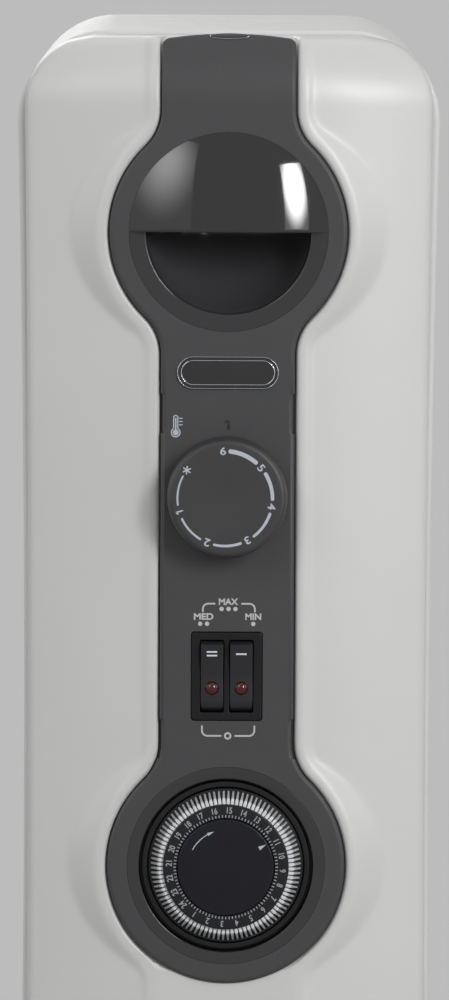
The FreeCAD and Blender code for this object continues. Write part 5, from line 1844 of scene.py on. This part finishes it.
    def _sign(self, name: str, x: float, bars: Sequence[float]) -> None:
        """Print a rocker's sign: level bars on its leaning upper face.

        Args:
            name: side of the switch.
            x: middle of the rocker across.
            bars: height of each bar above the pivot.
        """
        lean = math.tan(math.radians(self.tilt))
        shell = Shell()
        for up in bars:
            line = np.array([-self.bar_reach, 0.0, self.bar_reach])[:, None] * (1.0, 0.0) + (x, self.z + up)
            face = self.rocker_face - up * lean - self.face_rise
            bar = ribbon(line, np.full(3, self.bar_half), face)
            bar[..., 1] -= (bar[..., 2] - self.z - up) * lean
            shell.grid(bar)
        body = f"{name}_switch"
        shell.build(f"rocker_{name}_sign", [WHITE_INK], body, Slot.SWITCH, sharp=PRINT_SHARP, close=True)


@dataclass
class Timer:
    """Day timer: gloss ring, turning drum with a number ring and tappets, and a fixed centre disc."""

    face: float = -1.5
    radius: float = 36.8
    seat: float = 1.6
    slope: Pair = (0.05, 0.5)
    inner: float = 32.4
    wall: float = 2.0
    well: float = 13.0
    collar_face: float = 1.0
    collar_back: float = 5.6
    collar_room: Pair = (0.5, 1.0)
    ring_inner: float = 18.3
    ring_outer: float = 23.3
    ring_face: float = -7.2
    floor: float = -6.2
    tappet_inner: float = 23.4
    tappet_outer: float = 27.9
    tappet_front: float = -6.0
    tappet_rear: float = -0.9
    tappet_foot: float = 2.5
    tappet_bed: float = 0.2
    tappet_step: float = 0.1
    tappet_shoulder: float = -5.0
    tappet_bends: Pair = (24.9, 25.6)
    tappet_halves: tuple[float, ...] = (0.62, 0.6, 0.44, 0.3)
    tappet_count: int = 96
    rim: float = 28.7
    rim_depth: float = 0.3
    dot_ring: float = 28.32
    dot_radius: float = 0.28
    drum_back: float = 5.2
    cap: float = 17.9
    cap_front: float = -8.4
    cap_thick: float = 1.7
    spindle: float = 4.0
    bore: float = 4.25
    pointer_angle: float = 60.0
    pointer: Pair = (14.3, 17.3)
    pointer_half: float = 0.75
    arrow: float = 14.0
    arrow_line: float = 0.32
    arrow_sweep: Pair = (298.0, 333.0)
    arrow_tip: Pair = (331.0, 342.0)
    arrow_half: float = 0.6
    first_hour: float = 3.5
    hour_on_top: int = 15
    hours: int = 24
    hour_ring: float = 21.2
    hour_tall: float = 2.35
    hour_squeeze: float = 0.8
    hour_weight: float = 0.02
    quarters: int = 96
    quarter: Pair = (18.45, 19.45)
    quarter_half: float = 0.19

    def build(self) -> None:
        """Build each piece of the timer."""
        self.centre = np.array([0.0, Span.of("timer_bezel").middle[2]])
        self._bezel()
        self._collar()
        self._drum()
        self._tappets()
        self._cap()
        self._prints()
        self._numbers()

    def _lathe(
        self, name: str, rows: Sequence[tuple[float, float, float]], steps: int, finish: Finish,
        body: str, slot: Slot, nodes: Sequence[str] = (),
    ) -> None:
        """Build a piece that is a rounded section turned about the timer's axis."""
        shell = Shell().grid(turned(section(rows, steps), *self.centre))
        shell.build(name, [finish], body, slot, nodes)

    def _bezel(self) -> None:
        """Build the ring: a face that slopes in a little to its lip, and the well's wall behind it."""
        rows = (
            (self.radius, self.seat, 0.0),
            (self.radius, self.face + self.slope[0], 0.12),
            (self.inner, self.face + self.slope[1], 0.4),
            (self.inner, self.well, 0.1),
            (self.inner + self.wall, self.well, 0.1),
            (self.inner + self.wall, self.seat, 0.1),
            (self.radius, self.seat, 0.0),
        )
        self._lathe("timer_ring", rows, 6, RING_PLASTIC, ROOT, Slot.GLOSS, ["timer_bezel"])

    def _collar(self) -> None:
        """Build the dark collar that stands in the well round the drum."""
        low, high = self.rim + self.collar_room[0], self.inner - self.collar_room[1]
        face, back = self.collar_face, self.collar_back
        rows = ((low, back, 0.0), (low, face, 0.3), (high, face, 0.5), (high, back, 0.1), (low, back, 0.0))
        self._lathe("timer_collar", rows, 5, DIAL_PLASTIC, ROOT, Slot.DIAL)

    def _drum(self) -> None:
        """Build the drum: number ring, cone under the tappets and a rim, turned as one section."""
        rows = (
            (self.bore, self.drum_back, 0.0),
            (self.bore, self.floor, 0.1),
            (self.ring_inner, self.floor, 0.1),
            (self.ring_inner, self.ring_face, 0.2),
            (self.ring_outer, self.ring_face, 0.35),
            (self.ring_outer, self.tappet_front + self.tappet_foot, 0.2),
            (self.tappet_outer, self.rim_depth, 0.1),
            (self.rim, self.rim_depth, 0.2),
            (self.rim, self.drum_back, 0.2),
            (self.bore, self.drum_back, 0.0),
        )
        self._lathe("timer_drum", rows, 4, DIAL_PLASTIC, "dial", Slot.DIAL, ["timer_dial"])

    def _tappets(self) -> None:
        """Build the tappets: one tapered bar with a rounded top, repeated round the drum.

        Four stations along the bar give its half width and its top, and each station is a six-point
        arch that stands on the drum's cone. The last stretch, which slopes away, takes a darker finish
        that paints the shade falling there. A dark dot is painted on the drum's rim between each two
        bars, as the shade in a hole there.
        """
        front, foot = self.tappet_front, self.tappet_front + self.tappet_foot
        station = np.array([self.tappet_inner, *self.tappet_bends, self.tappet_outer])
        half = np.array(self.tappet_halves)
        top = np.array([front, front + self.tappet_step, self.tappet_shoulder, self.tappet_rear])
        foot = np.linspace(foot, self.rim_depth, 4) + self.tappet_bed
        across = half[:, None] * np.array([-1.0, -1.0, -0.55, 0.55, 1.0, 1.0])
        depth = top[:, None] + np.array([0.0, 0.3, 0.0, 0.0, 0.3, 0.0])
        depth[:, [0, -1]] = foot[:, None]
        angle = (np.arange(self.tappet_count) + 0.5) * WHOLE / self.tappet_count
        sine, cosine = np.sin(angle)[:, None, None], np.cos(angle)[:, None, None]
        x = station[:, None] * sine + across * cosine
        z = self.centre[1] + station[:, None] * cosine - across * sine
        points = joined(x, depth, z)
        index = np.arange(across.size).reshape(across.shape)
        skin = quads(np.hstack([index, index[:, :1]])).reshape(-1, 4)
        caps = [end[part] for end in index[[0, -1]] for part in ([0, 1, 4, 5], [1, 2, 3, 4])]
        whole = np.vstack([skin, caps])[None] + across.size * np.arange(self.tappet_count)[:, None, None]
        # The outer stretch and its end caps take the darker finish of painted shade.
        looks = np.tile(np.repeat([0, 1, 0, 1], [12, 6, 2, 2]), self.tappet_count)
        shell = Shell().add(points.reshape(-1, 3), whole.reshape(-1, 4), looks)
        finishes, nodes = [TAPPET_PLASTIC, TAPPET_PAINTED_SHADE], ["timer_tappets"]
        shell.build("timer_tappet_ring", finishes, "dial", Slot.TAPPET, nodes, sharp=24.0)
        # Dark dots painted on the drum's rim stand for the shade in the holes between the bars.
        dots = Shell()
        between = np.arange(1, self.tappet_count + 1) * 360.0 / self.tappet_count
        for x, z in polar(self.dot_ring, between, self.centre):
            dots.grid(dot(x, z, self.dot_radius, self.rim_depth))
        dots.build("timer_rim_hole_shade", [DARK_PRINT_AND_SHADE], "dial", Slot.DIAL, sharp=PRINT_SHARP)

    def _cap(self) -> None:
        """Build the fixed centre disc on its spindle."""
        back = self.cap_front + self.cap_thick
        rows = (
            (0.0, self.cap_front, 0.0),
            (self.cap, self.cap_front, 0.5),
            (self.cap, back, 0.2),
            (self.spindle, back, 0.1),
            (self.spindle, self.well, 0.1),
            (0.0, self.well, 0.0),
        )
        self._lathe("timer_centre_disc", rows, 6, CAP_PLASTIC, ROOT, Slot.DIAL, ["timer_centre_cap"])

    def _prints(self) -> None:
        """Print a pointer and an arrow on the centre disc."""
        line = polar(np.linspace(*self.pointer, 8), self.pointer_angle, self.centre)
        sweep = polar(self.arrow, np.linspace(*self.arrow_sweep, 20), self.centre)
        tip = polar(self.arrow, np.linspace(*self.arrow_tip, 8), self.centre)
        shell = Shell().grid(ribbon(line, np.linspace(self.pointer_half, 0.0, 8), self.cap_front))
        shell.grid(stroke(sweep, self.arrow_line, self.cap_front + PRINT_STEP))
        shell.grid(ribbon(tip, np.linspace(self.arrow_half, 0.0, 8), self.cap_front))
        shell.build("timer_disc_prints", [COOL_INK], ROOT, Slot.DIAL, sharp=PRINT_SHARP, close=True)

    def _numbers(self) -> None:
        """Print the hours, which run the other way round, and their quarter-hour ticks."""
        shell = Shell()
        font = (self.hour_squeeze, self.hour_weight)
        for hour in range(1, self.hours + 1):
            angle = self.first_hour - 360.0 / self.hours * (hour - self.hour_on_top)
            place = polar(self.hour_ring, angle, self.centre)
            write(shell, str(hour), self.hour_tall, place, self.ring_face, angle, *font)
        for quarter in range(self.quarters):
            angle = self.first_hour + 360.0 / self.quarters * quarter
            line = polar(np.linspace(*self.quarter, 3), angle, self.centre)
            shell.grid(ribbon(line, np.full(3, self.quarter_half), self.ring_face))
        shell.build("timer_hours", [HOUR_INK], "dial", Slot.DIAL, sharp=PRINT_SHARP, close=True)


@dataclass
class Castors:
    """Four twin-wheel castors: fork, stem, axle and two wheels each."""

    count: int = 4
    wheel: float = 20.0
    width: float = 10.0
    bore: float = 2.6
    round_off: float = 2.0
    groove: float = 0.6
    groove_top: float = 1.4
    groove_foot: float = 0.9
    rim: float = 4.2
    bevel: Pair = (1.6, 6.0)
    dish: float = 3.0
    dish_outer: float = 9.6
    hub: float = 6.0
    hub_inset: float = 1.2
    hub_draft: float = 0.6

    def build(self) -> None:
        """Build each castor on its own two bodies."""
        for number in range(1, self.count + 1):
            name = f"castor_{number}"
            softened(f"{name}_fork_moulding", f"{name}_fork", FOOT_PLASTIC, name, Slot.FOOT, 0.5)
            softened(f"{name}_stem_pin", f"{name}_stem", ZINC, name, Slot.ZINC, 0.4)
            softened(f"{name}_axle_pin", f"{name}_axle", ZINC, f"{name}_wheelset", Slot.ZINC, 0.3)
            self._wheels(name)

    def _wheels(self, name: str) -> None:
        """Build a pair of wheels: a section of tread, rim, dish and hub turned about the axle, and mirrored.

        Args:
            name: name of the castor.
        """
        span = Span.of(f"{name}_wheels")
        x, y, z = span.middle
        wheel, wide, half = self.wheel, self.width, self.width / 2
        rows = (
            (0.0, self.bore, 0.0),
            (0.0, wheel, self.round_off),
            (half - self.groove_top, wheel, 0.3),
            (half - self.groove_foot, wheel - self.groove, 0.3),
            (half + self.groove_foot, wheel - self.groove, 0.3),
            (half + self.groove_top, wheel, 0.3),
            (wide, wheel, self.round_off),
            (wide, wheel - self.rim, 1.0),
            (wide - self.bevel[0], wheel - self.bevel[1], 0.8),
            (wide - self.dish, self.dish_outer, 0.8),
            (wide - self.dish, self.hub + self.hub_draft, 0.4),
            (wide - self.hub_inset, self.hub, 0.5),
            (wide - self.hub_inset, self.bore, 0.3),
            (0.0, self.bore, 0.0),
        )
        profile = section(rows, 5)
        inner = span.size[0] / 2 - wide
        turn = np.linspace(0.0, WHOLE, 96, endpoint=False)
        depth = y - LIP_Y + np.outer(profile[:, 1], np.sin(turn))
        height = z + np.outer(profile[:, 1], np.cos(turn))
        shell = Shell()
        for side in (-1.0, 1.0):
            shell.grid(joined((x + side * (inner + profile[:, 0]))[:, None], depth, height))
        nodes = [f"{name}_wheels"]
        shell.build(f"{name}_wheel_pair", [WHEEL_PLASTIC], f"{name}_wheelset", Slot.WHEEL, nodes)


@dataclass
class Underside:
    """Feet, their hardware, plug, gland, screws and shield: name, node, finish, slot and edge of each."""

    fittings: tuple[tuple[str, str, Finish, Slot, float], ...] = (
        ("foot_front_moulding", "foot_front", FOOT_PLASTIC, Slot.FOOT, 0.8),
        ("foot_rear_moulding", "foot_rear", FOOT_PLASTIC, Slot.FOOT, 0.8),
        ("u_bolt_pair", "u_bolts", ZINC, Slot.ZINC, 0.3),
        ("washer_set", "washers", ZINC, Slot.ZINC, 0.15),
        ("wing_nut_set", "wing_nuts", ZINC, Slot.ZINC, 0.4),
        ("filler_plug", "oil_plug", BRASS, Slot.BRASS, 0.5),
        ("cable_gland", "cord_gland", FOOT_PLASTIC, Slot.FOOT, 0.5),
        ("cover_screw_pair", "cover_screws", ZINC, Slot.ZINC, 0.3),
        ("shield_sheet", "rear_shield", ZINC, Slot.ZINC, 0.2),
        ("shield_post_set", "shield_spacers", ZINC, Slot.ZINC, 0.3),
    )

    def build(self) -> None:
        """Build each fitting."""
        for name, node, finish, slot, bevel in self.fittings:
            softened(name, node, finish, ROOT, slot, bevel)


@dataclass
class Inside:
    """Pieces inside the cover, which keep their solids and get their finishes."""

    steel: tuple[str, ...] = (
        "heating_element", "element_flange", "thermostat_shaft", "thermostat_screws", "shield_screws"
    )
    pale: tuple[str, ...] = ("thermostat_body", "terminal_block", "thermal_cutout")
    dark: tuple[str, ...] = ("timer_body",)

    def dress(self) -> None:
        """Give each kept node its finish."""
        groups = ((ZINC, self.steel), (INNER_PLASTIC, self.pale), (DIAL_PLASTIC, self.dark))
        for finish, nodes in groups:
            for node in nodes:
                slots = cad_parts[node].data.materials
                slots.clear()
                slots.append(finish.material())
                LOG.info("%s keeps its solid", node)


@dataclass(frozen=True)
class SoftBox:
    """Soft box that stands round the controls, with a glow that may fall off round a hot spot.

    The azimuth is in degrees from the front to the right, lengths are in metres and the power in watts. The
    hot spot and the span over which the glow changes are shares of the box's width and height.
    """

    name: str
    azimuth: float
    away: float
    height: float
    size: Pair
    power: float
    hot: Pair = (0.5, 0.5)
    span: Pair = (0.0, 1.0)
    glow: Pair = (1.0, 1.0)
    lean: float = 0.0

    def hang(self) -> None:
        """Hang the box, facing the controls."""
        lamp = bpy.data.lights.new(self.name, "AREA")
        lamp.shape = "RECTANGLE"
        lamp.size, lamp.size_y = self.size
        lamp.energy = self.power
        if self.glow[0] != self.glow[1]:
            self._fade(lamp)
        box = bpy.data.objects.new(self.name, lamp)
        bpy.context.scene.collection.objects.link(box)
        turn = math.radians(self.azimuth)
        place = (self.away * math.sin(turn), LIP_Y * MM - self.away * math.cos(turn), self.height)
        upright = Matrix.Rotation(turn, 4, "Z") @ Matrix.Rotation(math.radians(90.0 - self.lean), 4, "X")
        box.matrix_world = Matrix.Translation(place) @ upright

    def _fade(self, lamp: bpy.types.Light) -> None:
        """Let the glow fall off round the hot spot.

        Args:
            lamp: lamp that gets the nodes.
        """
        lamp.use_nodes = True
        nodes = Nodes(lamp.node_tree)
        ends = {0: nodes.add("NewGeometry", {}).outputs["Parametric"], 1: (*self.hot, 0.0)}
        reach = nodes.add("VectorMath", ends, operation="DISTANCE").outputs["Value"]
        strength = nodes.mapped(reach, self.span, self.glow, "SMOOTHSTEP")
        nodes.feed(lamp.node_tree.nodes["Emission"], {"Strength": strength})


@dataclass
class Studio:
    """Pale floor, soft lamps, grey surroundings and the camera."""

    width: int = 449
    height: int = 1000
    distance: float = 4000.0
    eye: Pair = (4.0, 727.0)
    focal: float = 10790.0
    sensor: float = 36.0
    clip_end: float = 50.0
    pitch: float = 3.727
    roll: float = 0.255
    centre_px: float = 227.4
    backdrop: Colour = (188, 188, 188)
    ambient: float = 0.16
    floor_radius: float = 1900.0
    floor_fade: Pair = (0.9, 1.85)
    floor_colour: Colour = (190, 190, 189)
    floor_rough: float = 0.7
    boxes: tuple[SoftBox, ...] = (
        SoftBox("right_box", 33.6, 2.4, 1.19, (0.5, 1.55), 62.0, (0.5, 0.66), (0.2, 0.66), (1.0, 0.04)),
        SoftBox("left_box", -35.9, 2.2, 1.5, (1.39, 2.17), 11.5, (0.55, 0.68), (0.0, 0.6), (3.2, 0.16)),
        SoftBox("side_box", 72.0, 2.0, 1.4, (0.9, 1.6), 8.0),
        SoftBox("left_fill", -88.0, 2.0, 1.3, (0.9, 1.6), 10.0),
        SoftBox("front_top", 10.0, 1.3, 3.0, (1.6, 1.0), 2.5, lean=62.0),
        SoftBox("rear_box", -160.0, 2.6, 1.9, (1.6, 1.4), 22.0),
        SoftBox("top_box", 180.0, 0.7, 2.7, (2.0, 1.2), 9.0, lean=75.0),
    )

    def build(self) -> None:
        """Set up the camera, the surroundings, the floor and the lamps."""
        scene = bpy.context.scene
        scene.view_settings.view_transform = "Standard"
        self._camera(scene)
        self._world(scene)
        self._floor()
        for box in self.boxes:
            box.hang()

    def _camera(self, scene: bpy.types.Scene) -> None:
        """Place a long lens in front of the strip, a little above the top.

        Args:
            scene: scene that gets the camera.
        """
        camera = bpy.data.cameras.new("camera")
        camera.sensor_fit = "VERTICAL"
        camera.sensor_height = self.sensor
        camera.lens = self.focal * self.sensor / self.height
        camera.clip_end = self.clip_end
        view = bpy.data.objects.new("camera", camera)
        scene.collection.objects.link(view)
        x, z = self.eye
        face = Span.of("fascia").low[1]
        aim = math.atan2(-x, self.distance) - math.atan2(self.centre_px - self.width / 2, self.focal)
        turn = Matrix.Rotation(-aim, 4, "Z")
        tilt = Matrix.Rotation(math.radians(90.0 - self.pitch), 4, "X")
        lean = Matrix.Rotation(math.radians(self.roll), 4, "Z")
        place = Matrix.Translation((x * MM, (face - self.distance) * MM, z * MM))
        view.matrix_world = place @ turn @ tilt @ lean
        scene.camera = view

    def _world(self, scene: bpy.types.Scene) -> None:
        """Even light from all round, seen as the plain grey backdrop by the camera and in reflections.

        Args:
            scene: scene that gets the world.
        """
        world = bpy.data.worlds.new("surroundings")
        scene.world = world
        world.use_nodes = True
        world.node_tree.nodes.clear()
        nodes = Nodes(world.node_tree)
        path = nodes.add("LightPath", {}).outputs
        shown = path["Is Camera Ray"]
        for ray in ("Is Transmission Ray", "Is Glossy Ray"):
            shown = nodes.add("Math", {0: shown, 1: path[ray]}, operation="MAXIMUM").outputs["Value"]
        white = {"Color": (1.0, 1.0, 1.0, 1.0), "Strength": self.ambient}
        light = nodes.add("Background", white).outputs["Background"]
        seen = nodes.add("Background", {"Color": linear(self.backdrop)}).outputs["Background"]
        mix = nodes.add("MixShader", {"Fac": shown, 1: light, 2: seen}).outputs["Shader"]
        nodes.add("OutputWorld", {"Surface": mix})

    def _floor(self) -> None:
        """Build a round pale floor of rings that fades into the backdrop at its rim."""
        radius = np.linspace(0.0, self.floor_radius * MM, 24)
        turn = np.linspace(0.0, WHOLE, 96, endpoint=False)
        x, y = np.outer(radius, np.sin(turn)), np.outer(radius, np.cos(turn))
        points = joined(x, y, np.zeros(1))
        index = np.arange(x.size).reshape(x.shape)
        faces = quads(np.hstack([index, index[:, :1]]))[..., ::-1]
        mesh = bpy.data.meshes.new("floor")
        mesh.from_pydata(points.reshape(-1, 3).tolist(), [], faces.reshape(-1, 4).tolist())
        floor = bpy.data.objects.new("floor", mesh)
        bpy.context.scene.collection.objects.link(floor)
        mesh.materials.append(self._floor_material())

    def _floor_material(self) -> bpy.types.Material:
        """Matt pale grey that turns clear towards the floor's rim.

        Returns:
            The new material.
        """
        material = bpy.data.materials.new("pale_floor")
        material.use_nodes = True
        tree = material.node_tree
        nodes = Nodes(tree)
        shader = tree.nodes["Principled BSDF"]
        nodes.feed(shader, {"Base Color": linear(self.floor_colour), "Roughness": self.floor_rough})
        place = nodes.add("TexCoord", {}).outputs["Object"]
        reach = nodes.add("VectorMath", {0: place}, operation="LENGTH").outputs["Value"]
        fade = nodes.mapped(reach, self.floor_fade, (0.0, 1.0))
        clear = nodes.add("BsdfTransparent", {}).outputs["BSDF"]
        mix = nodes.add("MixShader", {"Fac": fade, 1: shader.outputs["BSDF"], 2: clear})
        nodes.feed(tree.nodes["Material Output"], {"Surface": mix.outputs["Shader"]})
        return material


def main() -> None:
    """Build the radiator in order, then the studio."""
    logging.basicConfig(level=logging.INFO, format="%(name)s: %(message)s")
    handle, timer = Span.of("handle_bowl").middle, Span.of("timer_bezel").middle
    cover = FrontCover(StripOutline(handle_z=float(handle[2]), timer_z=float(timer[2])))
    FinStack().build()
    cover.build()
    Fascia(cover).build()
    Handle().build()
    Thermostat().build()
    Switch().build()
    Timer().build()
    Castors().build()
    Underside().build()
    Inside().dress()
    Studio().build()


if __name__ == "__main__":
    main()
